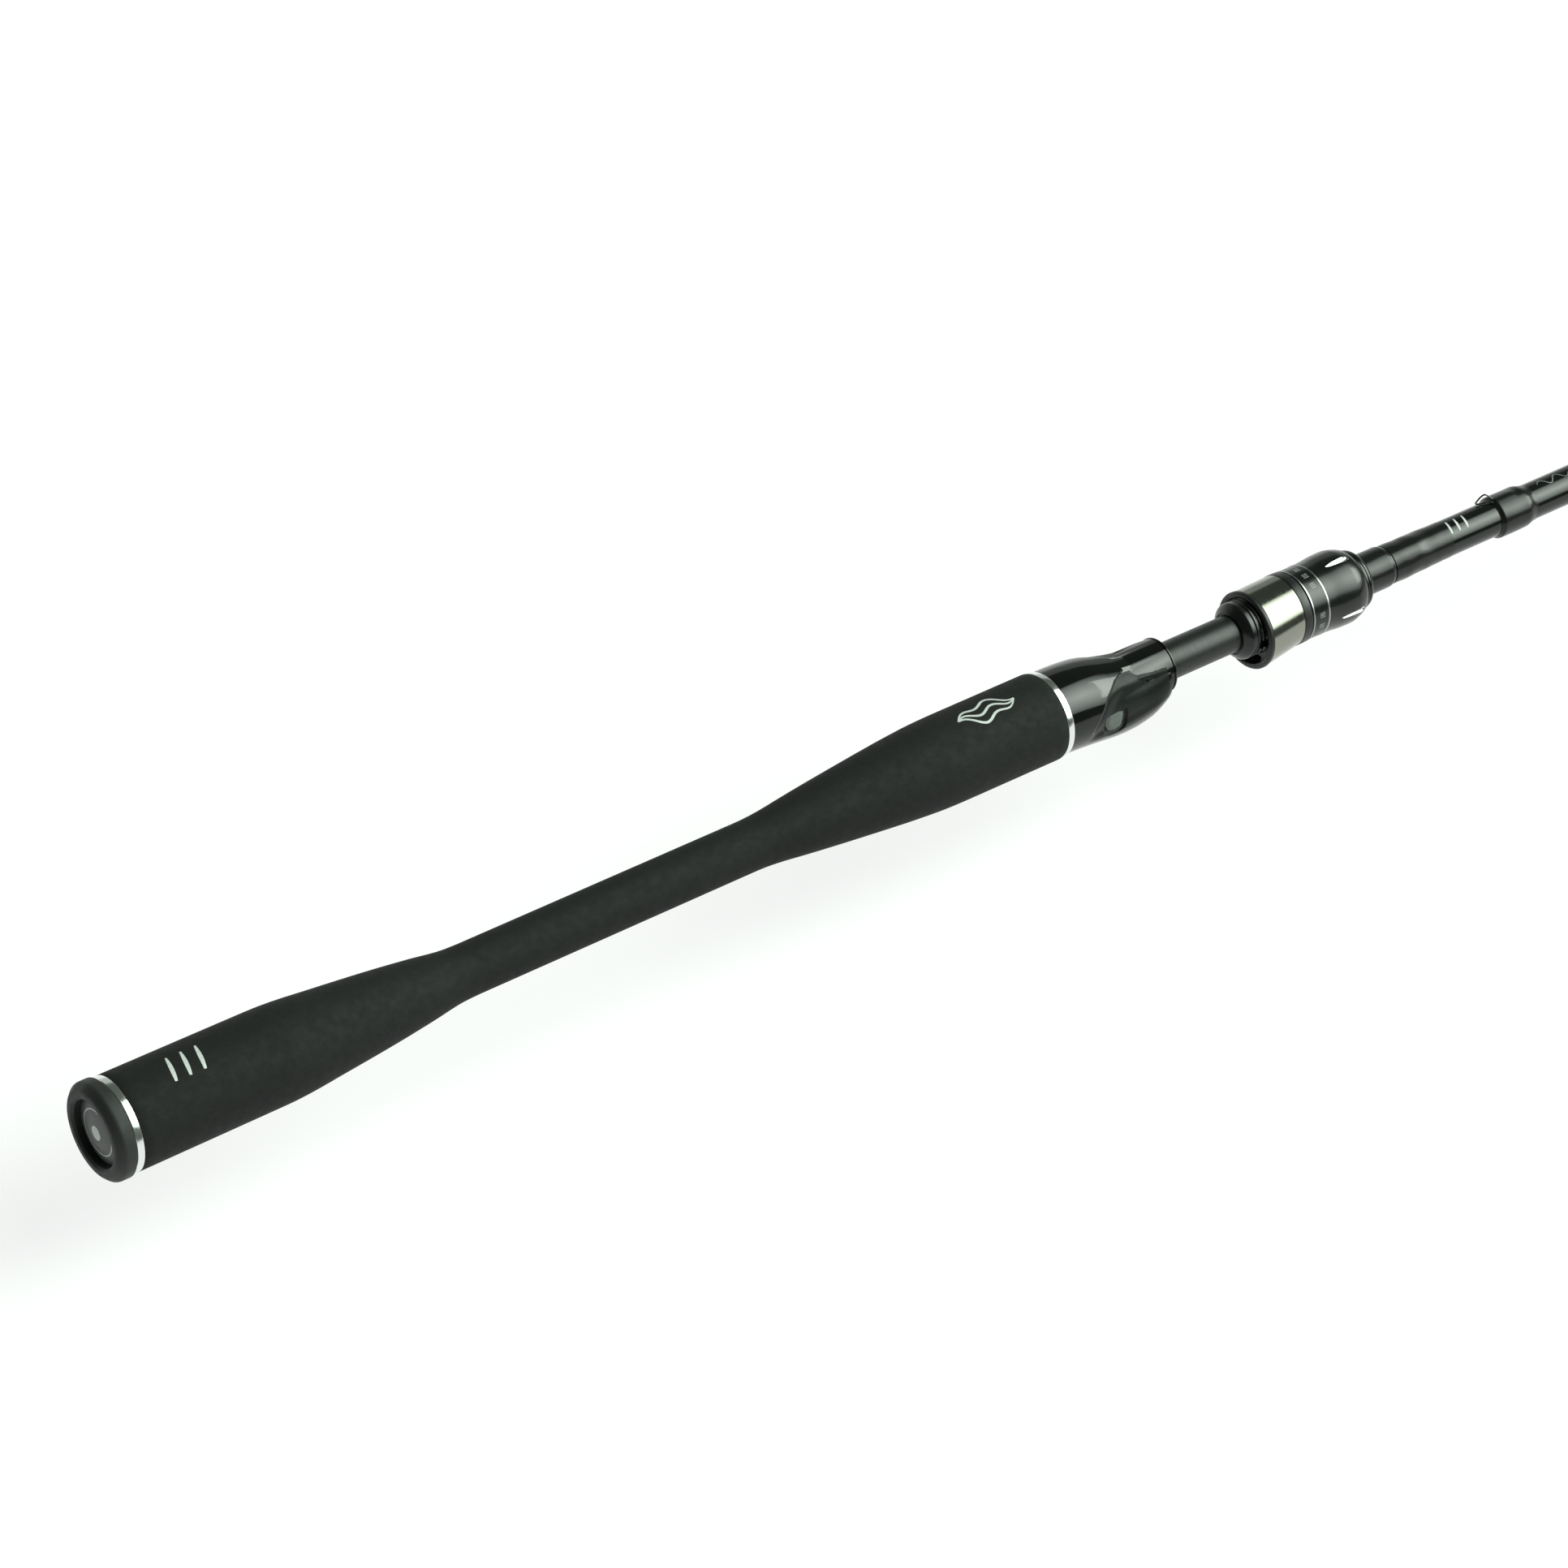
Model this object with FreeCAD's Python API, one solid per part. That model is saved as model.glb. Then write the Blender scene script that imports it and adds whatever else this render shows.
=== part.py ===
"""One-piece spinning rod with a split reel seat, in millimetres.

+X runs along the rod from butt to tip, +Z is the top of the rod, and the reel and the line guides are on the
-Z side. The origin is on the rod's axis, in the middle of the butt cap's cylindrical band.
"""

import FreeCAD, Part
import math
import os

V = FreeCAD.Vector
AXIS = V(1, 0, 0)

# ---------------------------------------------------------------- driving dimensions

ROD_LENGTH = 2134.0          # overall, butt to tip
GLUE = 0.03                  # radial glue line between bonded pieces
RUNNING = 0.15               # radial clearance of the sliding and turning pieces

# stations along the rod
BUTT_X = -2.4                # rear face of the butt cap
RING_X = 2.6                 # rear face of the butt ring
GRIP_X = 5.0                 # rear end of the foam grip
GRIP_END_X = 298.7           # front end of the foam grip
REAR_HOOD_X = 301.0          # rear end of the fixed hood
REAR_HOOD_END_X = 341.0      # front rim of the fixed hood
BARREL_X = 366.4             # rear end of the threaded barrel
BARREL_END_X = 402.6         # front end of the threaded barrel
HOOD_X = 372.3               # rear rim of the sliding hood
SLEEVE_X = 373.9             # rear end of the metal sleeve
SLEEVE_END_X = 385.3         # front end of the metal sleeve
COLLAR_END_X = 388.2         # front end of the sliding hood's collar
NUT_X = 388.4                # rear end of the lock nut
INSERT_X = 392.8             # rear end of the nut's threaded insert
NUT_END_X = 413.1            # front end of the lock nut
TRIM_END_X = 423.7           # front end of the thick winding before the nut
KEEPER_WINDING_X = 464.4     # rear end of the winding over the hook keeper's feet
TIP_X = BUTT_X + ROD_LENGTH  # outermost point of the tip-top

# radii
CAP_R = 13.4                 # butt cap
GRIP_R = 13.0                # grip and ring at the butt
GRIP_WAIST_R = 7.0           # grip at its waist
GRIP_FRONT_R = 12.55         # grip and ring at the seat
SEAT_BORE_R = 6.1            # bore of both fixed seat pieces, over an arbor bush
SEAT_TUBE_R = 7.9            # round front tube of the fixed hood
COLLAR_R = 8.3               # smooth rear collar of the barrel
THREAD_R = 8.3               # crest of the barrel's thread
THREAD_DEPTH = 0.55
THREAD_PITCH = 1.5           # right-hand
HOOD_RIM_R = 11.4            # outside of the sliding hood's rim
HOOD_MOUTH_R = 9.6           # inside of the rim
HOOD_DROP = 1.75             # how far the rim's centre lies towards the reel side
HOOD_SLEEVE_R = 11.25        # outside of the sleeve at the rim
HOOD_FRONT_R = 10.5          # outside of the sliding hood at its round front end
WALL = 0.6                   # sleeve wall
NECK_R = 9.25                # outside of the hood's neck inside the nut
INSERT_R = 9.65              # outside of the nut's threaded insert
LIP_BORE_R = 6.6             # front bore of the nut, which passes over the winding
FINGER_CUT_R = 0.82          # end radius of the nut's four teardrop cuts

# reel foot: side keys, pockets and landing
SLOT_FLOOR = 7.1             # distance from the axis to the floor of each side slot of the barrel
KEY_HALF_W = 1.5             # half the width of a side slot
POCKET_HALF_W = 7.2          # half the width of a reel foot's pocket
POCKET_END_X = 383.3         # front wall of the sliding hood's pocket
FOOT_FLOOR_Z = -8.0          # where the reel foot lies, both hoods

# hook keeper and line guides
KEEPER_WIRE_R = 0.3
RING_WALL = 1.3              # radial thickness of a ceramic ring
HOLDER_WALL = 0.6            # metal holder round it
FOOT_T = 0.7                 # thickness of a guide foot

# blank: outside radius at a few stations, straight tapers between them
BLANK_TAPER = [(RING_X, 5.75), (520.0, 5.26), (TIP_X - 8.0, 0.95)]
BLANK_WALL_BUTT = 1.2
BLANK_WALL_TIP = 0.45

# line guides: station, ring inside radius, height of the ring's centre below the axis, feet
GUIDES = [
    (1034.0, 10.2, 33.0, 2),
    (1290.0, 6.4, 25.0, 2),
    (1490.0, 4.4, 17.0, 2),
    (1650.0, 3.1, 10.5, 1),
    (1785.0, 2.5, 8.0, 1),
    (1905.0, 2.1, 6.6, 1),
    (2020.0, 2.1, 6.0, 1),
]
TIP_RING_R = 2.1


# ---------------------------------------------------------------- helpers

def blank_r(x):
    """Outside radius of the blank at a station."""
    for (x0, r0), (x1, r1) in zip(BLANK_TAPER, BLANK_TAPER[1:]):
        if x <= x1:
            return r0 + (r1 - r0) * (x - x0) / (x1 - x0)
    return BLANK_TAPER[-1][1]


def blank_wall(x):
    """Wall thickness of the blank at a station."""
    x0, x1 = BLANK_TAPER[0][0], BLANK_TAPER[-1][0]
    return BLANK_WALL_BUTT + (BLANK_WALL_TIP - BLANK_WALL_BUTT) * (x - x0) / (x1 - x0)


def edges_of(points):
    """Straight edges through (x, r) points in the XZ half plane."""
    v = [V(x, 0, r) for x, r in points]
    return [Part.makeLine(a, b) for a, b in zip(v, v[1:])]


def spline_edge(points, start_slope=None, end_slope=None):
    """A smooth edge through (x, r) points, with the slopes dr/dx of its ends where they are given."""
    curve = Part.BSplineCurve()
    v = [V(x, 0, r) for x, r in points]
    if start_slope is None:
        curve.interpolate(v)
    else:
        curve.interpolate(Points=v, InitialTangent=V(1, 0, start_slope), FinalTangent=V(1, 0, end_slope))
    return curve.toShape()


def arc_edge(a, b, c):
    """An arc through three (x, r) points."""
    return Part.Arc(*[V(x, 0, r) for x, r in (a, b, c)]).toShape()


def turned(edges):
    """The solid of revolution about the rod's axis of a closed outline of edges."""
    face = Part.Face(Part.Wire(edges))
    solid = face.revolve(V(0, 0, 0), AXIS, 360)
    return solid


def turned_points(points):
    """A turned solid from a polygon of (x, r) points."""
    return turned(edges_of(points + points[:1]))


def rod_x(x0, x1, r, z=0.0, r1=None):
    """A round bar or cone along X, with its axis at height z."""
    if r1 is None or abs(r1 - r) < 1e-9:
        return Part.makeCylinder(r, x1 - x0, V(x0, 0, z), AXIS)
    return Part.makeCone(r, r1, x1 - x0, V(x0, 0, z), AXIS)


def box(x0, x1, y0, y1, z0, z1):
    return Part.makeBox(x1 - x0, y1 - y0, z1 - z0, V(x0, y0, z0))


def circle_wire(x, r, z=0.0):
    """A circle across the rod, which starts at its top so that lofts don't twist."""
    circle = Part.Circle(V(x, 0, z), AXIS, r)
    return Part.Wire([circle.toShape()])


def loft(sections, ruled=False):
    """A solid through circles given as (x, r, z)."""
    return Part.makeLoft([circle_wire(*s) for s in sections], True, ruled)


def blank_core(x0, x1, extra=GLUE):
    """What a piece bonded over the blank leaves free: the blank with its glue line."""
    cuts = [x0] + [x for x, r in BLANK_TAPER if x0 < x < x1] + [x1]
    points = [(x, blank_r(x) + extra) for x in cuts]
    return turned_points([(x0, 0.0)] + points + [(x1, 0.0)])


def export(name, shape):
    shape = shape.removeSplitter() if shape.ShapeType != "Solid" else shape
    solids = shape.Solids
    out = solids[0] if len(solids) == 1 else Part.makeCompound(solids)
    out.exportStep(f"parts/{name}.step")
    state = "ok" if all(s.isValid() for s in solids) else "INVALID"
    print(f"{name:18s} {len(solids)} solid(s) {out.Volume:10.2f} mm3 {state}")


# ---------------------------------------------------------------- butt and grip

def butt_cap():
    """Rubber cap: rounded rim, recess for the badge and a plug that holds it in the blank."""
    mouth_r, recess_r = 9.9, 9.2
    band_x, rim_flat_r = -0.6, CAP_R - 1.8
    plug_r = blank_r(RING_X) - blank_wall(RING_X) - 0.15
    edges = edges_of([(0.9, 0.0), (0.9, recess_r), (BUTT_X + 0.7, recess_r)])
    edges.append(arc_edge((BUTT_X + 0.7, recess_r), (BUTT_X + 0.2, recess_r + 0.2), (BUTT_X, mouth_r)))
    edges += edges_of([(BUTT_X, mouth_r), (BUTT_X, rim_flat_r)])
    edges.append(arc_edge((BUTT_X, rim_flat_r), (BUTT_X + 0.53, CAP_R - 0.53), (band_x, CAP_R)))
    edges += edges_of([(band_x, CAP_R), (RING_X - 0.15, CAP_R), (RING_X, CAP_R - 0.15), (RING_X, plug_r),
                       (14.0, plug_r), (15.0, plug_r - 1.0), (15.0, 0.0), (0.9, 0.0)])
    return turned(edges)


def butt_badge():
    """Thin domed disc in the cap's recess."""
    edge_r, edge_x, crown_x, back_x = 9.0, 0.1, -1.1, 0.9
    edges = [arc_edge((crown_x, 0.0), (crown_x + 0.3, edge_r / 2), (edge_x, edge_r))]
    edges += edges_of([(edge_x, edge_r), (back_x, edge_r), (back_x, 0.0), (crown_x, 0.0)])
    return turned(edges)


def butt_ring():
    """Polished ring with a bright bevel towards the cap."""
    r = blank_r(RING_X) + GLUE
    bevel = 0.55
    return turned_points([(RING_X, r), (RING_X, GRIP_R - bevel), (RING_X + bevel, GRIP_R),
                          (GRIP_X - 0.1, GRIP_R), (GRIP_X, GRIP_R - 0.1), (GRIP_X, r)])


def grip_outline():
    """Outside edges of the grip, from the butt ring to the front ring."""
    swell = [(47.0, 12.85), (52.0, 12.76), (58.0, 12.38), (65.0, 11.71), (74.0, 10.87), (83.0, 9.97),
             (89.6, 9.22), (96.5, 8.35), (101.0, 7.68), (105.0, 7.22), (110.0, GRIP_WAIST_R + 0.04)]
    flare = [(199.0, GRIP_WAIST_R), (203.0, 7.14), (208.0, 7.57), (213.0, 8.16), (222.6, 9.22),
             (237.5, 10.67), (248.0, 11.62), (253.5, 12.02), (258.5, 12.33), (264.0, 12.48), (270.0, 12.52)]
    taper = (12.85 - GRIP_R) / (47.0 - GRIP_X)
    edges = edges_of([(GRIP_X, GRIP_R), swell[0]])
    edges.append(spline_edge(swell, taper, -0.0005))
    edges += edges_of([swell[-1], flare[0]])
    edges.append(spline_edge(flare, -0.0005, 0.001))
    edges += edges_of([flare[-1], (GRIP_END_X, GRIP_FRONT_R)])
    return edges


def grip():
    """One-piece foam grip, bonded straight onto the blank."""
    r0, r1 = blank_r(GRIP_X) + GLUE, blank_r(GRIP_END_X) + GLUE
    edges = edges_of([(GRIP_END_X, r1), (GRIP_X, r0), (GRIP_X, GRIP_R)]) + grip_outline()
    edges += edges_of([(GRIP_END_X, GRIP_FRONT_R), (GRIP_END_X, r1)])
    return turned(edges)


def front_grip_ring():
    """Polished tapered ring between grip and fixed hood."""
    r = blank_r(GRIP_END_X) + GLUE
    return turned_points([(GRIP_END_X, r), (GRIP_END_X, GRIP_FRONT_R), (REAR_HOOD_X - 0.3, 12.3),
                          (REAR_HOOD_X, 12.05), (REAR_HOOD_X, r)])


# ---------------------------------------------------------------- fixed hood

def rear_hood():
    """Fixed hood: a round tube over the blank that swells towards the reel side into the foot pocket."""
    sections = [(REAR_HOOD_X, 12.0, 0.0), (309.0, 12.15, -0.4), (314.5, 12.15, -1.09), (320.0, 11.95, -2.2),
                (325.0, 11.5, -3.1), (330.0, 10.85, -3.5), (335.0, 10.1, -3.0), (338.6, 8.9, -1.6)]
    body = loft(sections)
    tube = rod_x(312.0, REAR_HOOD_END_X - 1.1, SEAT_TUBE_R)
    body = body.fuse(tube)
    pocket = rod_x(317.0, 345.0, 8.6, -3.3)
    pocket = pocket.common(box(317.0, 345.0, -POCKET_HALF_W, POCKET_HALF_W, -14.0, FOOT_FLOOR_Z))
    body = body.cut(pocket)
    bore = rod_x(REAR_HOOD_X - 1, REAR_HOOD_END_X + 1, SEAT_BORE_R)
    return body.cut(bore)


def rear_hood_trim():
    """Thin end ring in the fixed hood's front rim."""
    x0, x1 = REAR_HOOD_END_X - 1.1, REAR_HOOD_END_X
    return turned_points([(x0, SEAT_BORE_R), (x0, SEAT_TUBE_R + 0.15), (x1 - 0.4, SEAT_TUBE_R + 0.15),
                          (x1, SEAT_TUBE_R - 0.25), (x1, SEAT_BORE_R)])


def arbor(x0, x1):
    """Bush that fills the space between the tapered blank and a seat piece's straight bore."""
    return rod_x(x0, x1, SEAT_BORE_R).cut(blank_core(x0 - 1, x1 + 1))


# ---------------------------------------------------------------- threaded barrel

def barrel():
    """Barrel: rounded collar, smooth land, then the thread, with key slots on both sides and a foot landing."""
    root = THREAD_R - THREAD_DEPTH
    groove_x, thread_x = BARREL_X + 3.6, BARREL_X + 4.4
    bore = SEAT_BORE_R
    edges = [arc_edge((BARREL_X, bore), (BARREL_X + 0.5, COLLAR_R - 0.75), (BARREL_X + 2.1, COLLAR_R))]
    edges += edges_of([(BARREL_X + 2.1, COLLAR_R), (groove_x - 0.3, COLLAR_R), (groove_x, COLLAR_R - 0.35),
                       (groove_x + 0.3, COLLAR_R), (thread_x, COLLAR_R), (thread_x, root), (BARREL_END_X, root),
                       (BARREL_END_X, bore), (BARREL_X, bore)])
    core = turned(edges)
    start = thread_x + 0.3
    half, top = THREAD_PITCH * 0.40, THREAD_PITCH * 0.12
    crests = []
    for i in range(int((BARREL_END_X - 0.5 - start) / THREAD_PITCH)):
        mid = start + (i + 0.5) * THREAD_PITCH
        crests.append(turned_points([(mid - half, root - 0.2), (mid - half, root), (mid - top, THREAD_R),
                                     (mid + top, THREAD_R), (mid + half, root), (mid + half, root - 0.2)]))
    body = core.fuse(crests)
    for y0, y1 in ((SLOT_FLOOR, 12), (-12, -SLOT_FLOOR)):
        body = body.cut(box(thread_x, BARREL_END_X + 1, y0, y1, -KEY_HALF_W, KEY_HALF_W))
    landing = box(BARREL_X - 1, BARREL_END_X + 1, -12, 12, -12, FOOT_FLOOR_Z)
    return body.cut(landing)


# ---------------------------------------------------------------- sliding hood

def hood_outline(x, inset=0.0):
    """(station, radius, height) of the sliding hood's round outside at a station."""
    share = max(0.0, min(1.0, (x - SLEEVE_X) / (SLEEVE_END_X - SLEEVE_X)))
    r = HOOD_SLEEVE_R + (HOOD_FRONT_R - HOOD_SLEEVE_R) * share
    return x, r - inset, -HOOD_DROP * (1 - share)


def hood_bore(x0, x1):
    """Round bore of the sliding hood over the thread."""
    return rod_x(x0, x1, THREAD_R + RUNNING)


def foot_pocket():
    """Space for the reel foot's toe between the barrel's landing and the hood's wall."""
    inset = WALL + 0.9
    wide = loft([hood_outline(x, inset) for x in (HOOD_X - 1, SLEEVE_X, POCKET_END_X)], True)
    return wide.common(box(HOOD_X - 2, POCKET_END_X, -POCKET_HALF_W, POCKET_HALF_W, -20, FOOT_FLOOR_Z + 1.5))


def hood_rim():
    """Soft black ring round the sliding hood's mouth."""
    ring = rod_x(HOOD_X, SLEEVE_X, HOOD_RIM_R, -HOOD_DROP)
    ring = ring.makeFillet(0.7, [e for e in ring.Edges if abs(e.BoundBox.XMax - HOOD_X) < 0.01])
    mouth = rod_x(HOOD_X - 1, SLEEVE_X + 1, HOOD_MOUTH_R, -HOOD_DROP)
    return ring.cut(mouth).cut(hood_bore(HOOD_X - 1, SLEEVE_X + 1)).cut(foot_pocket())


def hood_sleeve():
    """Bare metal sleeve, eccentric at the rim and round at the front."""
    stations = (SLEEVE_X, SLEEVE_END_X)
    outer = loft([hood_outline(x) for x in stations], True)
    inner = loft([hood_outline(x, WALL) for x in stations], True)
    return outer.cut(inner)


def hood_body():
    """Plastic carriage inside the sleeve, keyed to the barrel, with the neck that the nut turns on."""
    body = loft([hood_outline(x, WALL) for x in (SLEEVE_X, SLEEVE_END_X)], True)
    body = body.cut(foot_pocket())
    neck_end = NUT_X + 4.0
    body = body.fuse(rod_x(SLEEVE_END_X, neck_end, NECK_R))
    groove = rod_x(NUT_X + 1.6, NUT_X + 2.6, 12).cut(rod_x(NUT_X + 1.6, NUT_X + 2.6, NECK_R - 0.35))
    body = body.cut(groove).cut(hood_bore(SLEEVE_X - 1, neck_end + 1))
    half, reach = KEY_HALF_W - RUNNING, THREAD_R + RUNNING + 0.2
    inner = SLOT_FLOOR + RUNNING
    for y0, y1 in ((inner, reach), (-reach, -inner)):
        body = body.fuse(box(379.0, neck_end - 4.0, y0, y1, -half, half))
    return body


def hood_collar():
    """Black ring at the front of the sleeve, round the neck."""
    return turned_points([(SLEEVE_END_X, NECK_R + GLUE), (SLEEVE_END_X, HOOD_FRONT_R),
                          (SLEEVE_END_X + 0.3, HOOD_FRONT_R + 0.1), (COLLAR_END_X - 0.4, HOOD_FRONT_R + 0.1),
                          (COLLAR_END_X, HOOD_FRONT_R - 0.2), (COLLAR_END_X, NECK_R + GLUE)])


def snap_ring():
    """Split wire ring in the neck's groove, which holds the nut to the hood."""
    mid = NUT_X + 2.1
    ring = Part.makeTorus(NECK_R - 0.35 + 0.38, 0.36, V(mid, 0, 0), AXIS)
    return ring.cut(box(mid - 1, mid + 1, -0.8, 0.8, 5, 12))


# ---------------------------------------------------------------- lock nut

def nut_shell():
    """Aluminium lock nut: banded rear, swelling to a stepped nose, with four milled finger cuts."""
    belly = [(394.6, 10.4), (397.5, 10.52), (401.0, 10.82), (403.6, 10.93), (405.5, 10.92)]
    counterbore = NECK_R + 0.15
    edges = edges_of([(NUT_X, counterbore), (NUT_X, 10.2), (NUT_X + 0.3, 10.5), (394.6, 10.4)])
    edges.append(spline_edge(belly, 0.0, 0.0))
    edges += edges_of([(405.5, 10.92), (407.0, 10.62), (408.3, 10.25), (409.2, 9.85), (409.9, 9.2), (410.9, 9.1),
                       (410.9, 8.6), (411.3, 8.6), (411.3, 8.85), (412.3, 8.6), (NUT_END_X, 7.5),
                       (NUT_END_X, LIP_BORE_R), (410.2, LIP_BORE_R), (408.8, 8.0), (408.8, INSERT_R),
                       (INSERT_X, INSERT_R), (INSERT_X, counterbore)])
    groove_x = NUT_X + 2.1
    edges += edges_of([(INSERT_X, counterbore), (groove_x + 0.5, counterbore), (groove_x + 0.5, NECK_R + 0.5),
                       (groove_x - 0.5, NECK_R + 0.5), (groove_x - 0.5, counterbore), (NUT_X, counterbore)])
    shell = turned(edges)
    point_x, round_x, height = 398.6, 407.0, 10.9
    cutter = rod_x(point_x, round_x, 0.05, height, FINGER_CUT_R)
    cutter = cutter.fuse(Part.makeSphere(FINGER_CUT_R, V(round_x, 0, height)))
    for angle in (0, 90, 180, 270):
        turned_cutter = cutter.copy()
        turned_cutter.rotate(V(0, 0, 0), AXIS, angle)
        shell = shell.cut(turned_cutter)
    return shell


def nut_insert():
    """Threaded bush pressed into the nut, running on the barrel."""
    x1, bore = 407.0, THREAD_R + RUNNING
    return turned_points([(INSERT_X, bore), (INSERT_X, INSERT_R), (x1, INSERT_R), (x1, bore)])


# ---------------------------------------------------------------- windings and hook keeper

def winding(x0, x1, thickness, fade=4.0):
    """A thread winding under lacquer, which fades to the blank at its front end and steps at its rear end."""
    step = min(0.25, thickness)
    r0, r1 = blank_r(x0), blank_r(x1)
    g = GLUE
    return turned_points([(x0, r0 + g), (x0, r0 + thickness - step), (x0 + step, blank_r(x0 + step) + thickness),
                          (x1 - fade, blank_r(x1 - fade) + thickness), (x1, r1 + 0.12), (x1, r1 + g)])


def both_ends_winding(x0, x1, thickness, rise=3.0, fade=3.0):
    """A winding that starts and ends in a slope."""
    g = GLUE
    return turned_points([(x0, blank_r(x0) + g), (x0, blank_r(x0) + 0.12),
                          (x0 + rise, blank_r(x0 + rise) + thickness),
                          (x1 - fade, blank_r(x1 - fade) + thickness),
                          (x1, blank_r(x1) + 0.12), (x1, blank_r(x1) + g)])


def wire(points, radius, bend):
    """A round wire through points, with a rounded bend at each inner point."""
    pts = [V(*p) for p in points]
    edges = []
    last = pts[0]
    for a, b, c in zip(pts, pts[1:], pts[2:]):
        u, w = (a - b).normalize(), (c - b).normalize()
        half = u.getAngle(w) / 2
        reach = bend / math.tan(half)
        p, q = b + u * reach, b + w * reach
        mid = b + (u + w).normalize() * (bend / math.sin(half) - bend)
        edges.append(Part.makeLine(last, p))
        edges.append(Part.Arc(p, mid, q).toShape())
        last = q
    edges.append(Part.makeLine(last, pts[-1]))
    path = Part.Wire(edges)
    direction = (pts[1] - pts[0]).normalize()
    profile = Part.Wire([Part.Circle(pts[0], direction, radius).toShape()])
    return path.makePipeShell([profile], True, True)


def hook_keeper():
    """Bent wire: a slanted loop that stands off the blank, with both feet under the winding."""
    lying = blank_r(KEEPER_WINDING_X) + KEEPER_WIRE_R + 0.08
    x_end = KEEPER_WINDING_X + 8.5
    bends = [(x_end, 5.0, lying), (465.6, 6.5, lying), (463.3, 20.0, lying + 0.07), (460.6, 34.5, lying + 0.08),
             (463.4, 24.0, 7.55), (465.9, 15.5, lying + 0.2), (467.4, 13.8, lying + 0.02), (x_end, 12.6, lying)]
    around = [(x, r * math.sin(math.radians(turn)), r * math.cos(math.radians(turn))) for x, turn, r in bends]
    return wire(around, KEEPER_WIRE_R, 0.42)


def keeper_winding(keeper):
    """Winding over the hook keeper's feet."""
    body = both_ends_winding(KEEPER_WINDING_X, KEEPER_WINDING_X + 14.5, 0.88, 1.0, 3.2)
    return body.cut(keeper)


# ---------------------------------------------------------------- line guides

def guide_ring(x, ring_r, height):
    """Ceramic ring with a rounded bore, its axis along the rod."""
    half = 0.9 if ring_r > 4 else 0.7
    outer = ring_r + RING_WALL * (1.0 if ring_r > 4 else 0.7)
    ring = turned_points([(x - half, ring_r + 0.35), (x - half + 0.35, ring_r), (x + half - 0.35, ring_r),
                          (x + half, ring_r + 0.35), (x + half, outer - 0.2), (x + half - 0.2, outer),
                          (x - half + 0.2, outer), (x - half, outer - 0.2)])
    ring.translate(V(0, 0, -height))
    return ring, outer, half


def guide_foot(x0, x1):
    """Foot that lies along the blank's underside between two stations, tapering to its end."""
    near, far = blank_r(x0) * 0.91, blank_r(x1) * 0.91
    half = min(1.6, blank_r(x0) * 0.6)
    side = Part.makePolygon([V(x0, -half, -near), V(x1, -half, -far), V(x1, -half, -far - 0.15),
                             V(x0, -half, -near - FOOT_T), V(x0, -half, -near)])
    return Part.Face(side).extrude(V(0, 2 * half, 0))


def guide_frame(x, ring_r, height, feet):
    """Metal frame: a round holder, legs down to the blank and one or two feet."""
    ring, outer, half = guide_ring(x, ring_r, height)
    holder = turned_points([(x - half * 0.8, outer + GLUE), (x - half * 0.8, outer + HOLDER_WALL),
                            (x + half * 0.8, outer + HOLDER_WALL), (x + half * 0.8, outer + GLUE)])
    holder.translate(V(0, 0, -height))
    leg_r = 0.55 if ring_r < 5 else 0.8
    top_z = -blank_r(x) - GLUE - leg_r * 0.6
    reach = 0.75 * height if feet == 2 else 0.62 * height + 2.0
    body = holder
    foot_len = 9.0 + ring_r * 1.1
    spread = outer * 0.62
    spans = [(-1, spread), (-1, -spread)]
    if feet == 2:
        spans += [(1, 0.0)]
    for way, y in spans:
        x_foot = x + way * reach
        drop = math.sqrt((outer + HOLDER_WALL * 0.5) ** 2 - y * y)
        start = V(x + way * half * 0.5, y, -height + drop)
        end = V(x_foot, y * 0.12, top_z)
        leg = Part.makeCylinder(leg_r, (end - start).Length, start, end - start)
        body = body.fuse(leg)
    x_rear = x - reach
    body = body.fuse(guide_foot(x_rear + 1.0, x_rear - foot_len))
    if feet == 2:
        body = body.fuse(guide_foot(x + reach - 1.0, x + reach + foot_len))
    solid = body.cut(blank_core(x_rear - foot_len - 5, x + reach + foot_len + 5))
    solid = solid.cut(rod_x(x - half - 3, x + half + 3, outer + GLUE, -height))
    ends = [(x_rear - foot_len, x_rear - 1.2)]
    if feet == 2:
        ends.append((x + reach + 1.2, x + reach + foot_len))
    return ring, solid, body, ends


def guide_windings(uncut_frame, ends):
    """Windings over a guide's feet."""
    made = []
    for x0, x1 in ends:
        cover = both_ends_winding(x0 - 4.0, x1 + 0.6, FOOT_T + 0.35, 2.5, 1.0)
        if x0 > ends[0][0] and len(ends) == 2:
            cover = both_ends_winding(x0 - 0.6, x1 + 4.0, FOOT_T + 0.35, 1.0, 2.5)
        made.append(cover.cut(uncut_frame))
    return Part.makeCompound(made)


# ---------------------------------------------------------------- tip-top

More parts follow.
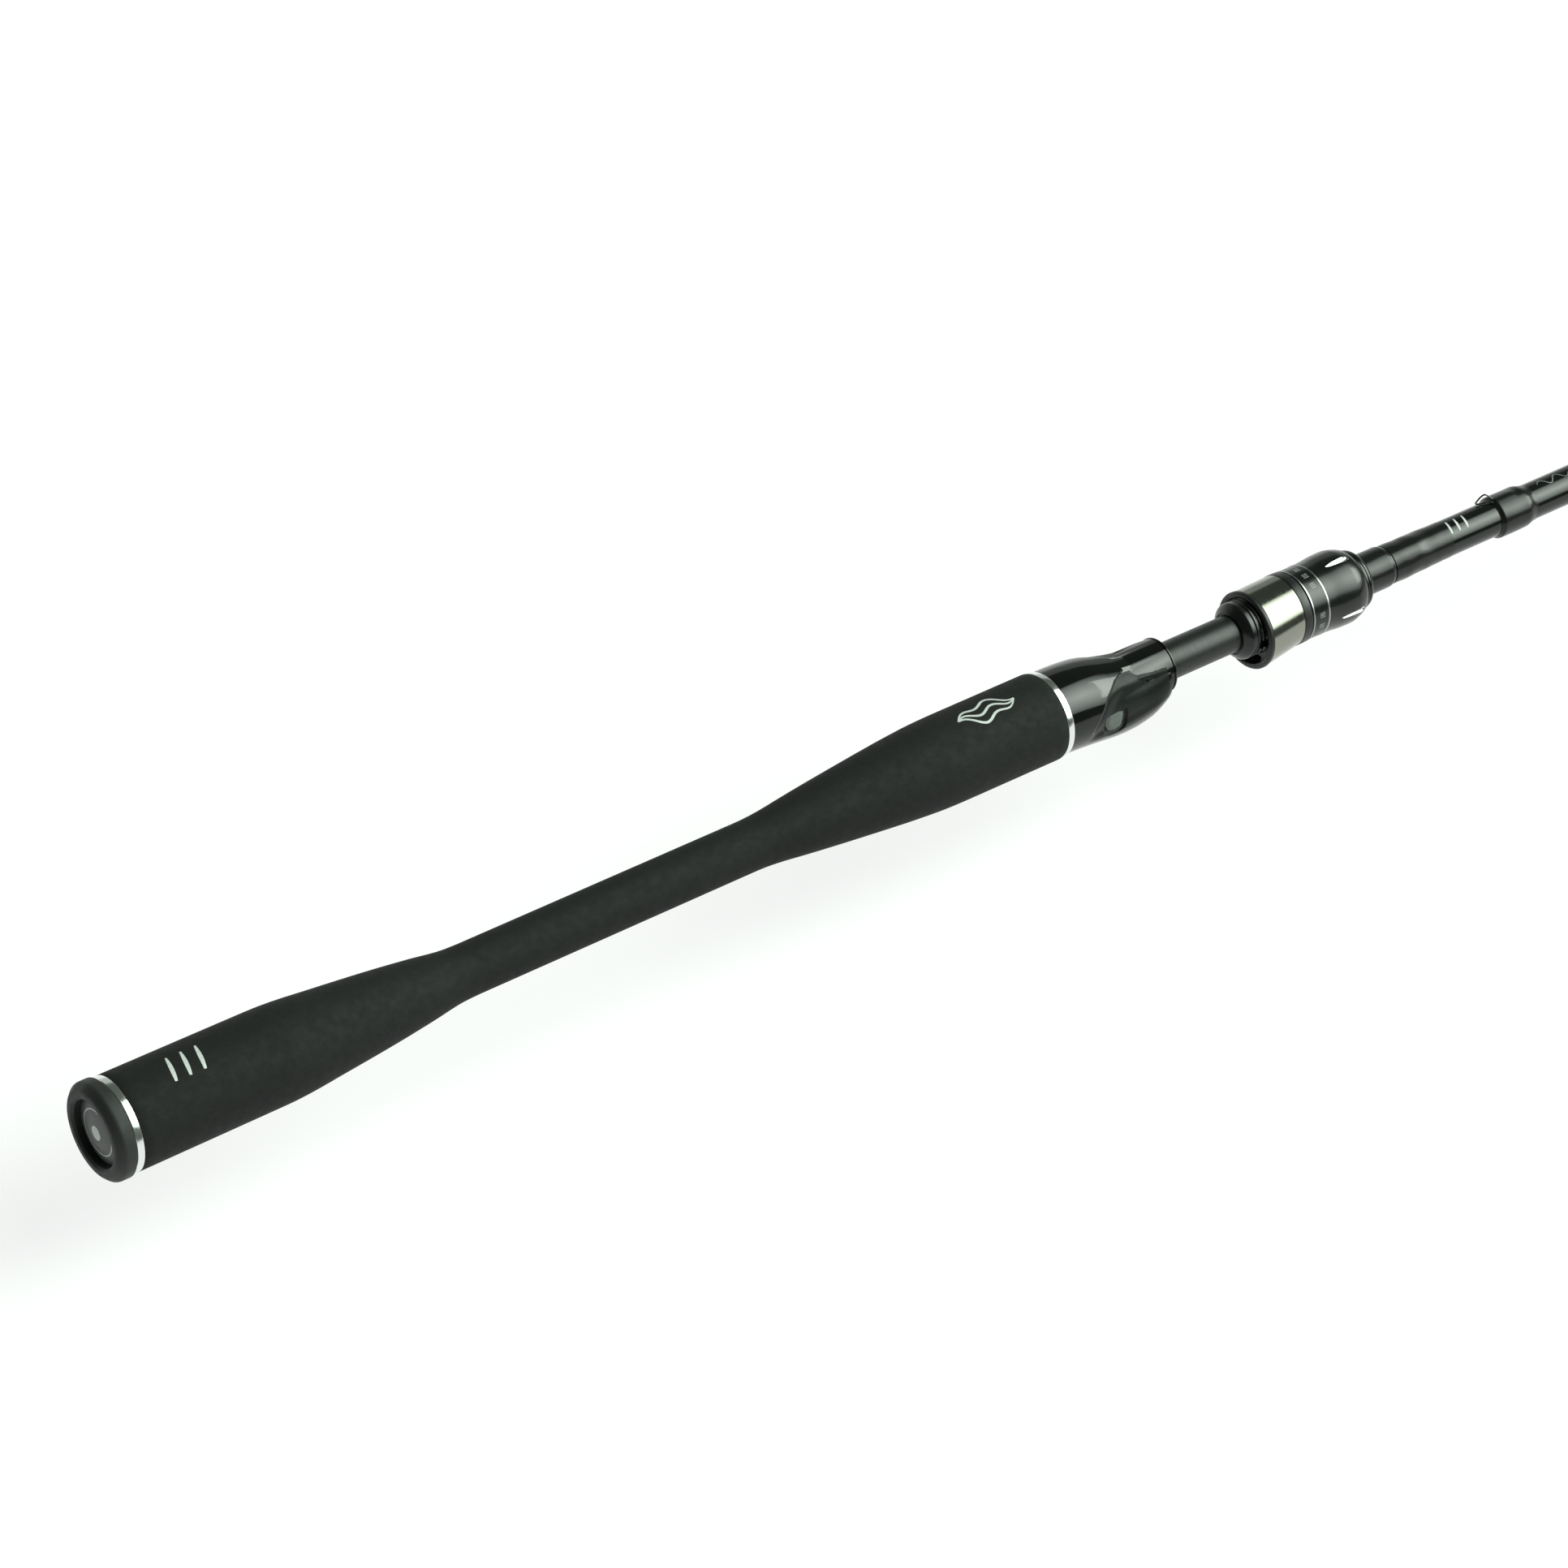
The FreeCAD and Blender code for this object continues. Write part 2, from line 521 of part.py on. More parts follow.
def tip_top():
    """Tube over the tip with its ring holder, a front strut and two stays, and the ceramic ring."""
    ring_x, height = TIP_X - 0.7, 5.6
    ring, outer, half = guide_ring(ring_x, TIP_RING_R, height)
    wall_r = outer + HOLDER_WALL / 2
    holder = turned_points([(ring_x - half * 0.8, outer + GLUE), (ring_x - half * 0.8, outer + HOLDER_WALL),
                            (ring_x + half * 0.8, outer + HOLDER_WALL), (ring_x + half * 0.8, outer + GLUE)])
    holder.translate(V(0, 0, -height))
    tube_x0, tube_x1 = TIP_X - 24.0, TIP_X - 3.5
    body = rod_x(tube_x0, tube_x1, 1.75).fuse(holder)
    struts = [(V(tube_x1 - 0.8, 0, -0.6), V(ring_x, 0, wall_r - height), 0.6)]
    for side in (-1, 1):
        end = V(ring_x, side * wall_r * 0.87, wall_r * 0.5 - height)
        struts.append((V(tube_x0 + 8.0, side * 1.2, -0.8), end, 0.42))
    for start, end, r in struts:
        body = body.fuse(Part.makeCylinder(r, (end - start).Length, start, end - start))
    body = body.cut(blank_core(tube_x0 - 5, BLANK_TAPER[-1][0], 0.1))
    body = body.cut(rod_x(ring_x - 3, ring_x + 3, outer + GLUE, -height))
    return ring, body, tube_x0


# ---------------------------------------------------------------- blank

def blank():
    """Hollow tapered tube, the whole length of the rod."""
    outer = [(x, r) for x, r in BLANK_TAPER]
    inner = [(x, r - blank_wall(x)) for x, r in reversed(BLANK_TAPER)]
    return turned_points(outer + inner)


def main():
    os.makedirs("parts", exist_ok=True)
    export("butt_cap", butt_cap())
    export("butt_badge", butt_badge())
    export("butt_ring", butt_ring())
    export("grip", grip())
    export("front_grip_ring", front_grip_ring())
    export("rear_hood", rear_hood())
    export("rear_hood_trim", rear_hood_trim())
    export("rear_arbor", arbor(REAR_HOOD_X, REAR_HOOD_END_X - 0.6))
    export("barrel_arbor", arbor(BARREL_X + 0.2, BARREL_END_X))
    export("barrel", barrel())
    export("hood_rim", hood_rim())
    export("hood_sleeve", hood_sleeve())
    export("hood_body", hood_body())
    export("hood_collar", hood_collar())
    export("snap_ring", snap_ring())
    export("nut_shell", nut_shell())
    export("nut_insert", nut_insert())
    export("blank", blank())
    export("trim_winding", winding(BARREL_END_X + 0.5, TRIM_END_X, 0.74, 2.0))
    export("front_winding", winding(TRIM_END_X + 0.4, 446.0, 0.38, 17.0))
    keeper = hook_keeper()
    export("hook_keeper", keeper)
    export("keeper_winding", keeper_winding(keeper))
    for i, (x, ring_r, height, feet) in enumerate(GUIDES, 1):
        ring, frame, uncut_frame, ends = guide_frame(x, ring_r, height, feet)
        export(f"guide_{i}_frame", frame)
        export(f"guide_{i}_ring", ring)
        export(f"guide_{i}_winding", guide_windings(uncut_frame, ends))
    ring, tube, tube_x0 = tip_top()
    export("tip_frame", tube)
    export("tip_ring", ring)
    export("tip_winding", both_ends_winding(tube_x0 - 7.0, tube_x0 - 0.1, 0.4, 1.5, 0.5))


main()
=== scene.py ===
"""Looks of a one-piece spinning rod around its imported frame.

Lengths in this file are in millimetres: x along the rod from the butt, r outwards. A turn is in degrees round
the rod, from the top (+Z, the side with the prints) towards +Y. All become metres when a mesh is made.
"""

import math

import bmesh
import bpy
from mathutils import Matrix, Vector, noise


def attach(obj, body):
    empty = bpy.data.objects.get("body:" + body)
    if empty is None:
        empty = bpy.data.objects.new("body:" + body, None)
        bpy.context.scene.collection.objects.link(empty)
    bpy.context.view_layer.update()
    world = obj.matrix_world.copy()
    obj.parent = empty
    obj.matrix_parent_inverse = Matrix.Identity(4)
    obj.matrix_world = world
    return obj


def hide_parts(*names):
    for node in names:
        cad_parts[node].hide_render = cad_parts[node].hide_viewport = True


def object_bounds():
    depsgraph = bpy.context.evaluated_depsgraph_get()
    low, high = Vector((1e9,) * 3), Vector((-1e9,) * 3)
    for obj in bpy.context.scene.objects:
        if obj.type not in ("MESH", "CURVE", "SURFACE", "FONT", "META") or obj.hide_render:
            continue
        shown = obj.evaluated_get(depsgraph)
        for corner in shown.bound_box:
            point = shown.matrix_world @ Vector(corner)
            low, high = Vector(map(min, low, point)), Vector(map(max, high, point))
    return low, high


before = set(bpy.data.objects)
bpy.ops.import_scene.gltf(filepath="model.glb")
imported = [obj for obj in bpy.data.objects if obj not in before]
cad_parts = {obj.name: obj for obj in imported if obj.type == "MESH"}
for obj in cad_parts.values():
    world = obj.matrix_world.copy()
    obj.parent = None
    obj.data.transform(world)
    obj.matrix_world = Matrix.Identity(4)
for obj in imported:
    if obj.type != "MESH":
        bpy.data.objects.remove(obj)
CAD_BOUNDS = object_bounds()

MM = 0.001
TAU = 2 * math.pi

# ---------------------------------------------------------------- stations shared with the CAD, in mm

GRIP_X, GRIP_END_X, REAR_HOOD_X = 5.0, 298.7, 301.0
BARREL_X, THREAD_X, BARREL_END_X = 366.4, 370.8, 402.6
HOOD_X, SLEEVE_X, SLEEVE_END_X, COLLAR_END_X = 372.3, 373.9, 385.3, 388.2
TRIM_END_X = 423.7
KEEPER_WINDING_X = 464.4
TIP_X = -2.4 + 2134.0
BLANK_TAPER = [(2.6, 5.75), (520.0, 5.26), (TIP_X - 8.0, 0.95)]
SEAT_BORE_R, SEAT_TUBE_R, THREAD_R, THREAD_PITCH, BORE_R = 6.1, 7.9, 8.3, 1.5, 8.45
SLOT_FLOOR, KEY_HALF_W, FOOT_FLOOR_Z = 7.1, 1.5, -8.0
HOOD_DROP, HOOD_MOUTH_R, HOOD_RIM_R, HOOD_SLEEVE_R = 1.75, 9.6, 11.4, 11.25
HOOD_FRONT_R, NECK_R = 10.5, 9.25
POCKET_HALF_W = 7.2


# ---------------------------------------------------------------- numbers

def lerp_table(table, x):
    """Straight interpolation in (x, y, ...) rows; the ends are held."""
    if x <= table[0][0]:
        return table[0][1:] if len(table[0]) > 2 else table[0][1]
    for a, b in zip(table, table[1:]):
        if x <= b[0]:
            t = (x - a[0]) / (b[0] - a[0])
            out = tuple(p + (q - p) * t for p, q in zip(a[1:], b[1:]))
            return out if len(out) > 1 else out[0]
    return table[-1][1:] if len(table[-1]) > 2 else table[-1][1]


def smoothstep(t):
    t = max(0.0, min(1.0, t))
    return t * t * (3 - 2 * t)


def blank_r(x):
    return lerp_table(BLANK_TAPER, x)


def spline(points, step):
    """Points along a smooth curve through (x, r) points, about step apart."""
    out = []
    n = len(points)
    for i in range(n - 1):
        p0, p1, p2, p3 = points[max(i - 1, 0)], points[i], points[i + 1], points[min(i + 2, n - 1)]
        count = max(1, round(math.dist(p1, p2) / step))
        dx = p2[0] - p1[0]
        m1 = (p2[1] - p0[1]) / (p2[0] - p0[0]) if i > 0 else (p2[1] - p1[1]) / dx
        m2 = (p3[1] - p1[1]) / (p3[0] - p1[0]) if i < n - 2 else (p2[1] - p1[1]) / dx
        for k in range(count):
            t = k / count
            h00, h10 = 2 * t**3 - 3 * t**2 + 1, t**3 - 2 * t**2 + t
            h01, h11 = -2 * t**3 + 3 * t**2, t**3 - t**2
            out.append((p1[0] + dx * t, h00 * p1[1] + h10 * dx * m1 + h01 * p2[1] + h11 * dx * m2))
    out.append(points[-1])
    return out


def rounded(points, radii, steps=5):
    """An (x, r) polygon with its corners rounded: radii has a value for each point, 0 for a sharp one."""
    out = []
    n = len(points)
    for i, p in enumerate(points):
        radius = radii[i]
        if radius <= 0:
            out.append(p)
            continue
        p = Vector(p)
        a, b = Vector(points[i - 1]) - p, Vector(points[(i + 1) % n]) - p
        half = a.angle(b) / 2
        reach = min(radius / math.tan(half), a.length * 0.49, b.length * 0.49)
        r = reach * math.tan(half)
        a.normalize(), b.normalize()
        centre = p + (a + b).normalized() * (r / math.sin(half))
        va, vb = p + a * reach - centre, p + b * reach - centre
        sweep = va.angle_signed(vb)
        for k in range(steps + 1):
            angle = -sweep * k / steps
            out.append(tuple(centre + Matrix.Rotation(angle, 2) @ va))
    return out


# ---------------------------------------------------------------- meshes

def polar(x, r, turn, z=0.0):
    """A point at a station, radius and turn in degrees from the top, in metres."""
    t = math.radians(turn)
    return Vector((x, r * math.sin(t), r * math.cos(t) + z)) * MM


def finish_mesh(name, bm, material, sharp=32.0):
    """An object from a bmesh: outward normals, smooth faces, sharp edges where faces meet steeply."""
    bmesh.ops.recalc_face_normals(bm, faces=bm.faces)
    limit = math.radians(sharp)
    for f in bm.faces:
        f.smooth = True
    for e in bm.edges:
        if len(e.link_faces) == 2 and e.calc_face_angle(0) > limit:
            e.smooth = False
    mesh = bpy.data.meshes.new(name)
    bm.to_mesh(mesh)
    bm.free()
    obj = bpy.data.objects.new(name, mesh)
    bpy.context.scene.collection.objects.link(obj)
    for m in material if isinstance(material, (list, tuple)) else [material]:
        mesh.materials.append(m)
    return obj


def sheet_of(bm, rows, wrap_rows):
    """Quads between rows of vertices, each a closed ring; a row with one vertex is a point on the axis."""
    pairs = list(zip(rows, rows[1:])) + ([(rows[-1], rows[0])] if wrap_rows else [])
    for a, b in pairs:
        n = max(len(a), len(b))
        if len(a) == 1 and len(b) == 1:
            continue
        for i in range(n):
            j = (i + 1) % n
            if len(a) == 1:
                bm.faces.new((a[0], b[i], b[j]))
            elif len(b) == 1:
                bm.faces.new((a[i], b[0], a[j]))
            else:
                bm.faces.new((a[i], b[i], b[j], a[j]))


def turned(name, outline, material, segments=160, z=0.0, centre_z=None, material_of=None, sharp=32.0):
    """A turned piece from a closed outline of (x, r) points. centre_z gives the axis height at a station."""
    bm = bmesh.new()
    rows = []
    on_axis = any(r < 1e-6 for x, r in outline)
    for x, r in outline:
        dz = centre_z(x) if centre_z else z
        if r < 1e-6:
            rows.append([bm.verts.new(polar(x, 0, 0, dz))])
        else:
            rows.append([bm.verts.new(polar(x, r, 360.0 * i / segments, dz)) for i in range(segments)])
    sheet_of(bm, rows, not on_axis)
    if material_of:
        for f in bm.faces:
            centre = f.calc_center_median() / MM
            f.material_index = material_of(centre.x, math.hypot(centre.y, centre.z))
    return finish_mesh(name, bm, material, sharp)


def relief(name, xs, radius, bore, material, segments=240, sharp=32.0):
    """A tube whose outside radius is a function of station and turn; bore is its inside radius."""
    bm = bmesh.new()
    turns = [360.0 * i / segments for i in range(segments)]
    rows = [[bm.verts.new(polar(xs[0], bore, t)) for t in turns]]
    for x in xs:
        rows.append([bm.verts.new(polar(x, radius(x, (t + 180) % 360 - 180), t)) for t in turns])
    rows.append([bm.verts.new(polar(xs[-1], bore, t)) for t in turns])
    sheet_of(bm, rows, True)
    return finish_mesh(name, bm, material, sharp)


def block(x0, x1, y0, y1, z0, z1):
    """A cutting box."""
    bm = bmesh.new()
    bmesh.ops.create_cube(bm, size=1.0)
    for v in bm.verts:
        v.co = Vector((x0 + (x1 - x0) * (v.co.x + 0.5), y0 + (y1 - y0) * (v.co.y + 0.5),
                       z0 + (z1 - z0) * (v.co.z + 0.5))) * MM
    return finish_mesh("cutter", bm, [])


def boolean(obj, other, operation="DIFFERENCE"):
    """obj with other cut from it, joined to it or kept in common; other is used up."""
    modifier = obj.modifiers.new("cut", "BOOLEAN")
    modifier.operation = operation
    modifier.solver = "EXACT"
    modifier.object = other
    bpy.context.view_layer.update()
    mesh = bpy.data.meshes.new_from_object(obj.evaluated_get(bpy.context.evaluated_depsgraph_get()))
    obj.modifiers.clear()
    obj.data = mesh
    bpy.data.objects.remove(other)
    return obj


def resharpen(obj, sharp=32.0):
    """Smooth faces again, with sharp edges by angle, after a cut."""
    bm = bmesh.new()
    bm.from_mesh(obj.data)
    bmesh.ops.remove_doubles(bm, verts=bm.verts, dist=2e-6)
    limit = math.radians(sharp)
    for f in bm.faces:
        f.smooth = True
    for e in bm.edges:
        e.smooth = not (len(e.link_faces) == 2 and e.calc_face_angle(0) > limit)
    bm.to_mesh(obj.data)
    bm.free()
    return obj


def place(obj, body, slot, *nodes):
    """obj moves with a body and stands for CAD nodes, which are hidden; slot is not used."""
    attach(obj, body)
    if nodes:
        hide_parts(*nodes)
    return obj


def ribbon(bm, stroke, width, surface, x0, turn0, low, high):
    """A printed line on a round surface: stroke is a list of (along, around) points in mm."""
    n = len(stroke)
    rows = []
    for i, p in enumerate(stroke):
        a, b = Vector(stroke[max(i - 1, 0)]), Vector(stroke[min(i + 1, n - 1)])
        across = (b - a).normalized().orthogonal() * width(i / (n - 1)) / 2
        row = []
        for side, level in ((-1, low), (-1, high), (1, high), (1, low)):
            q = Vector(p) + across * side
            x = x0 + q.x
            r = surface(x)
            row.append(bm.verts.new(polar(x, r + level, turn0 + math.degrees(q.y / r))))
        rows.append(row)
    sheet_of(bm, rows, False)
    bm.faces.new(rows[0][::-1])
    bm.faces.new(rows[-1])


def printed(name, strokes, surface, x0, turn0, material, low=-0.03, high=0.05):
    """A printed mark: strokes is a list of (points, width function)."""
    bm = bmesh.new()
    for points, width in strokes:
        ribbon(bm, points, width, surface, x0, turn0, low, high)
    return finish_mesh(name, bm, material, 60.0)


# ---------------------------------------------------------------- materials

class Finish:
    """A Principled material with helpers that add procedural detail in the row's own coordinates."""

    def __init__(self, name, color, roughness, metallic=0.0, coat=0.0, coat_roughness=0.03, ior=1.5):
        self.material = bpy.data.materials.new(name)
        self.material.use_nodes = True
        self.tree = self.material.node_tree
        self.shader = self.tree.nodes["Principled BSDF"]
        self.color, self.rough = color, roughness
        self.shader.inputs["Base Color"].default_value = (*color, 1)
        self.shader.inputs["Roughness"].default_value = roughness
        self.shader.inputs["Metallic"].default_value = metallic
        self.shader.inputs["IOR"].default_value = ior
        self.shader.inputs["Coat Weight"].default_value = coat
        self.shader.inputs["Coat Roughness"].default_value = coat_roughness
        self.coords = self.tree.nodes.new("ShaderNodeTexCoord").outputs["Object"]
        self.normal = None

    def link(self, a, b):
        self.tree.links.new(a, b)

    def node(self, kind, **values):
        n = self.tree.nodes.new(kind)
        for k, v in values.items():
            setattr(n, k, v)
        return n

    def noise(self, scale, detail=4.0, stretch=(1, 1, 1), rough=0.55):
        mapping = self.node("ShaderNodeMapping")
        mapping.inputs["Scale"].default_value = stretch
        self.link(self.coords, mapping.inputs["Vector"])
        n = self.node("ShaderNodeTexNoise")
        n.inputs["Scale"].default_value = scale
        n.inputs["Detail"].default_value = detail
        n.inputs["Roughness"].default_value = rough
        self.link(mapping.outputs["Vector"], n.inputs["Vector"])
        return n.outputs["Fac"]

    def cells(self, scale):
        n = self.node("ShaderNodeTexVoronoi")
        n.inputs["Scale"].default_value = scale
        self.link(self.coords, n.inputs["Vector"])
        return n.outputs["Distance"]

    def rings(self, pitch, distortion=0.0):
        """Lines round the rod, pitch mm apart."""
        n = self.node("ShaderNodeTexWave", wave_type="BANDS", bands_direction="X")
        n.inputs["Scale"].default_value = TAU / (20.0 * pitch * MM)
        n.inputs["Distortion"].default_value = distortion
        n.inputs["Detail"].default_value = 1.0
        self.link(self.coords, n.inputs["Vector"])
        return n.outputs["Fac"]

    def ramp(self, value, low, high, start=0.35, end=0.65):
        m = self.node("ShaderNodeMapRange")
        m.inputs["From Min"].default_value = start
        m.inputs["From Max"].default_value = end
        m.inputs["To Min"].default_value = low
        m.inputs["To Max"].default_value = high
        self.link(value, m.inputs["Value"])
        return m.outputs["Result"]

    def vary_color(self, value, other, start=0.35, end=0.65):
        mix = self.node("ShaderNodeMix", data_type="RGBA")
        mix.inputs["A"].default_value = (*self.color, 1)
        mix.inputs["B"].default_value = (*other, 1)
        self.link(self.ramp(value, 0.0, 1.0, start, end), mix.inputs["Factor"])
        self.link(mix.outputs["Result"], self.shader.inputs["Base Color"])
        return self

    def vary_roughness(self, value, low, high):
        self.link(self.ramp(value, low, high), self.shader.inputs["Roughness"])
        return self

    def bump(self, value, depth, strength=1.0):
        """Relief of a depth in mm."""
        b = self.node("ShaderNodeBump")
        b.inputs["Strength"].default_value = strength
        b.inputs["Distance"].default_value = depth * MM
        self.link(value, b.inputs["Height"])
        if self.normal is not None:
            self.link(self.normal, b.inputs["Normal"])
        self.normal = b.outputs["Normal"]
        self.link(self.normal, self.shader.inputs["Normal"])
        return self


def make_finishes():
    """Every finish, by the name that the pieces use."""
    made = {}

    f = Finish("foam", (0.0052, 0.0062, 0.0055), 0.80, ior=1.42)
    f.shader.inputs["Specular IOR Level"].default_value = 0.3
    f.vary_color(f.noise(1300, 6), (0.0068, 0.0079, 0.0071))
    f.vary_roughness(f.noise(400, 5), 0.74, 0.84)
    f.bump(f.cells(4200), 0.03, 0.5).bump(f.noise(1100, 5), 0.025, 0.4)
    made["foam"] = f.material

    f = Finish("rubber", (0.0105, 0.0122, 0.0111), 0.60)
    f.shader.inputs["Specular IOR Level"].default_value = 0.4
    f.vary_color(f.noise(700, 5), (0.0135, 0.0156, 0.0142))
    f.vary_roughness(f.noise(350, 4), 0.56, 0.68)
    f.bump(f.noise(1800, 5), 0.02, 0.5)
    made["rubber"] = f.material

    f = Finish("badge", (0.034, 0.040, 0.036), 0.45)
    f.vary_color(f.noise(300, 4, (1, 0.2, 1)), (0.042, 0.049, 0.044))
    f.bump(f.noise(2200, 4), 0.008, 0.4)
    made["badge"] = f.material

    f = Finish("polished_ring", (0.74, 0.76, 0.745), 0.16, metallic=1.0)
    f.vary_roughness(f.noise(500, 4, (8, 1, 1)), 0.12, 0.20)
    f.bump(f.rings(0.12, 0.4), 0.004, 0.5)
    made["polished"] = f.material

    f = Finish("gloss_black", (0.0026, 0.0031, 0.0027), 0.07, ior=1.42)
    f.vary_roughness(f.noise(140, 4), 0.05, 0.10)
    f.bump(f.noise(260, 3), 0.008, 0.2)
    made["gloss"] = f.material

    f = Finish("hood_recess", (0.0080, 0.0098, 0.0086), 0.26, ior=1.42)
    f.shader.inputs["Specular IOR Level"].default_value = 0.13
    f.vary_roughness(f.noise(300, 4), 0.22, 0.32)
    f.bump(f.noise(700, 4), 0.008, 0.3)
    made["recess"] = f.material

    # The pad's light grey base colour is a painted reflection of the floor on its tilted face.
    f = Finish("hood_pad_painted_reflection", (0.075, 0.088, 0.080), 0.34, ior=1.42)
    f.vary_roughness(f.noise(500, 4), 0.30, 0.40)
    f.bump(f.noise(1500, 4), 0.008, 0.4)
    made["pad"] = f.material

    f = Finish("rim_black", (0.0042, 0.0050, 0.0045), 0.42, ior=1.42)
    f.vary_roughness(f.noise(300, 4), 0.36, 0.48)
    f.bump(f.noise(1500, 4), 0.012, 0.4)
    made["rim"] = f.material

    f = Finish("barrel_black", (0.0034, 0.0041, 0.0036), 0.26, ior=1.42)
    f.vary_roughness(f.noise(300, 4), 0.21, 0.31)
    f.bump(f.noise(700, 4), 0.01, 0.4)
    made["barrel"] = f.material

    f = Finish("inner_black", (0.006, 0.0068, 0.0063), 0.5)
    f.vary_roughness(f.noise(300, 4), 0.45, 0.6)
    f.bump(f.noise(900, 4), 0.02, 0.5)
    made["inner"] = f.material

    f = Finish("sleeve_metal", (0.262, 0.264, 0.229), 0.14, metallic=1.0)
    f.vary_color(f.noise(90, 4, (1, 0.6, 0.6)), (0.238, 0.240, 0.208))
    f.vary_roughness(f.noise(240, 5, (12, 1, 1)), 0.10, 0.19)
    f.bump(f.rings(0.10, 0.6), 0.003, 0.5)
    made["sleeve"] = f.material

    f = Finish("nut_black", (0.0040, 0.0048, 0.0042), 0.19, ior=1.42)
    f.vary_roughness(f.noise(400, 4, (10, 1, 1)), 0.16, 0.25)
    f.bump(f.rings(0.14, 0.3), 0.003, 0.4)
    made["nut"] = f.material

    f = Finish("cut_aluminium", (0.66, 0.68, 0.665), 0.24, metallic=1.0)
    f.vary_roughness(f.noise(600, 4), 0.18, 0.3)
    f.bump(f.rings(0.16), 0.004, 0.5)
    made["cut"] = f.material

    f = Finish("cut_line", (0.34, 0.355, 0.345), 0.30, metallic=1.0)
    f.vary_roughness(f.noise(600, 4), 0.26, 0.34)
    f.bump(f.rings(0.16), 0.003, 0.4)
    made["line"] = f.material

    f = Finish("satin_blank", (0.0065, 0.0076, 0.0068), 0.39, ior=1.39)
    f.vary_color(f.noise(500, 4, (6, 1, 1)), (0.0090, 0.0104, 0.0094))
    f.vary_roughness(f.noise(300, 4, (4, 1, 1)), 0.35, 0.43)
    f.bump(f.rings(1.1, 1.2), 0.008, 0.3).bump(f.noise(900, 4), 0.006, 0.3)
    made["satin_blank"] = f.material

    f = Finish("gloss_blank", (0.0030, 0.0036, 0.0032), 0.09, ior=1.42)
    f.vary_color(f.rings(1.1, 1.5), (0.0045, 0.0052, 0.0047))
    f.vary_roughness(f.noise(120, 4), 0.06, 0.12)
    f.bump(f.noise(90, 2), 0.012, 0.2)
    made["gloss_blank"] = f.material

    f = Finish("thread_lacquer", (0.0036, 0.0043, 0.0039), 0.35, coat=0.45, coat_roughness=0.14)
    f.shader.inputs["Specular IOR Level"].default_value = 0.08
    f.vary_color(f.rings(0.26), (0.0058, 0.0066, 0.0061))
    f.bump(f.rings(0.26), 0.03, 0.35).bump(f.noise(110, 2), 0.04, 0.25)
    made["lacquer"] = f.material

    f = Finish("keeper_wire", (0.10, 0.11, 0.104), 0.22, metallic=1.0)
    f.vary_roughness(f.noise(900, 4), 0.17, 0.3)
    f.bump(f.noise(1800, 4), 0.006, 0.5)
    made["wire"] = f.material

    f = Finish("guide_metal", (0.12, 0.125, 0.122), 0.24, metallic=1.0)
    f.vary_roughness(f.noise(500, 4), 0.18, 0.32)
    f.bump(f.noise(1200, 4), 0.01, 0.4)
    made["guide"] = f.material

    f = Finish("ceramic", (0.014, 0.015, 0.0155), 0.06)
    f.vary_roughness(f.noise(400, 4), 0.04, 0.1)
    f.bump(f.noise(600, 3), 0.004, 0.3)
    made["ceramic"] = f.material

    f = Finish("white_print", (0.50, 0.53, 0.51), 0.5)
    f.vary_color(f.noise(1400, 5), (0.42, 0.45, 0.43))
    f.bump(f.noise(2600, 4), 0.01, 0.5)
    made["print"] = f.material

    f = Finish("faint_print", (0.17, 0.185, 0.175), 0.4)
    f.vary_color(f.noise(1200, 5), (0.12, 0.13, 0.124))
    f.bump(f.noise(2600, 4), 0.01, 0.4)
    made["faint"] = f.material
    return made


FIN = make_finishes()


# ---------------------------------------------------------------- butt and grip

GRIP_SWELL = [(47.0, 12.85), (52.0, 12.76), (58.0, 12.38), (65.0, 11.71), (74.0, 10.87), (83.0, 9.97),
              (89.6, 9.22), (96.5, 8.35), (101.0, 7.68), (105.0, 7.22), (110.0, 7.04)]
GRIP_FLARE = [(199.0, 7.0), (203.0, 7.14), (208.0, 7.57), (213.0, 8.16), (222.6, 9.22), (237.5, 10.67),
              (248.0, 11.62), (253.5, 12.02), (258.5, 12.33), (264.0, 12.48), (270.0, 12.52)]


def grip_r(x):
    """Outside radius of the foam grip."""
    return lerp_table([(GRIP_X, 13.0)] + GRIP_SWELL + GRIP_FLARE + [(GRIP_END_X, 12.55)], x)


def smooth_grip_outline():
    """The grip's outside points, with its two long curves smoothed."""
    start = [(GRIP_X + 0.25 + 41.7 * i / 14, 13.0 - 0.15 * i / 14) for i in range(14)]
    waist = [(110.0 + 89.0 * i / 30, 7.04 - 0.04 * i / 30) for i in range(1, 30)]
    end = [(270.0 + 28.3 * i / 10, 12.52 + 0.03 * i / 10) for i in range(1, 11)]
    edge = [(GRIP_X, 12.85)]
    close = [(GRIP_END_X, 12.4)]
    return edge + start + spline(GRIP_SWELL, 1.2) + waist + spline(GRIP_FLARE, 1.2) + end + close


def badge_x(r):
    """Station of the cap badge's domed face at a radius."""
    return -1.1 + 1.2 * (r / 9.0) ** 2


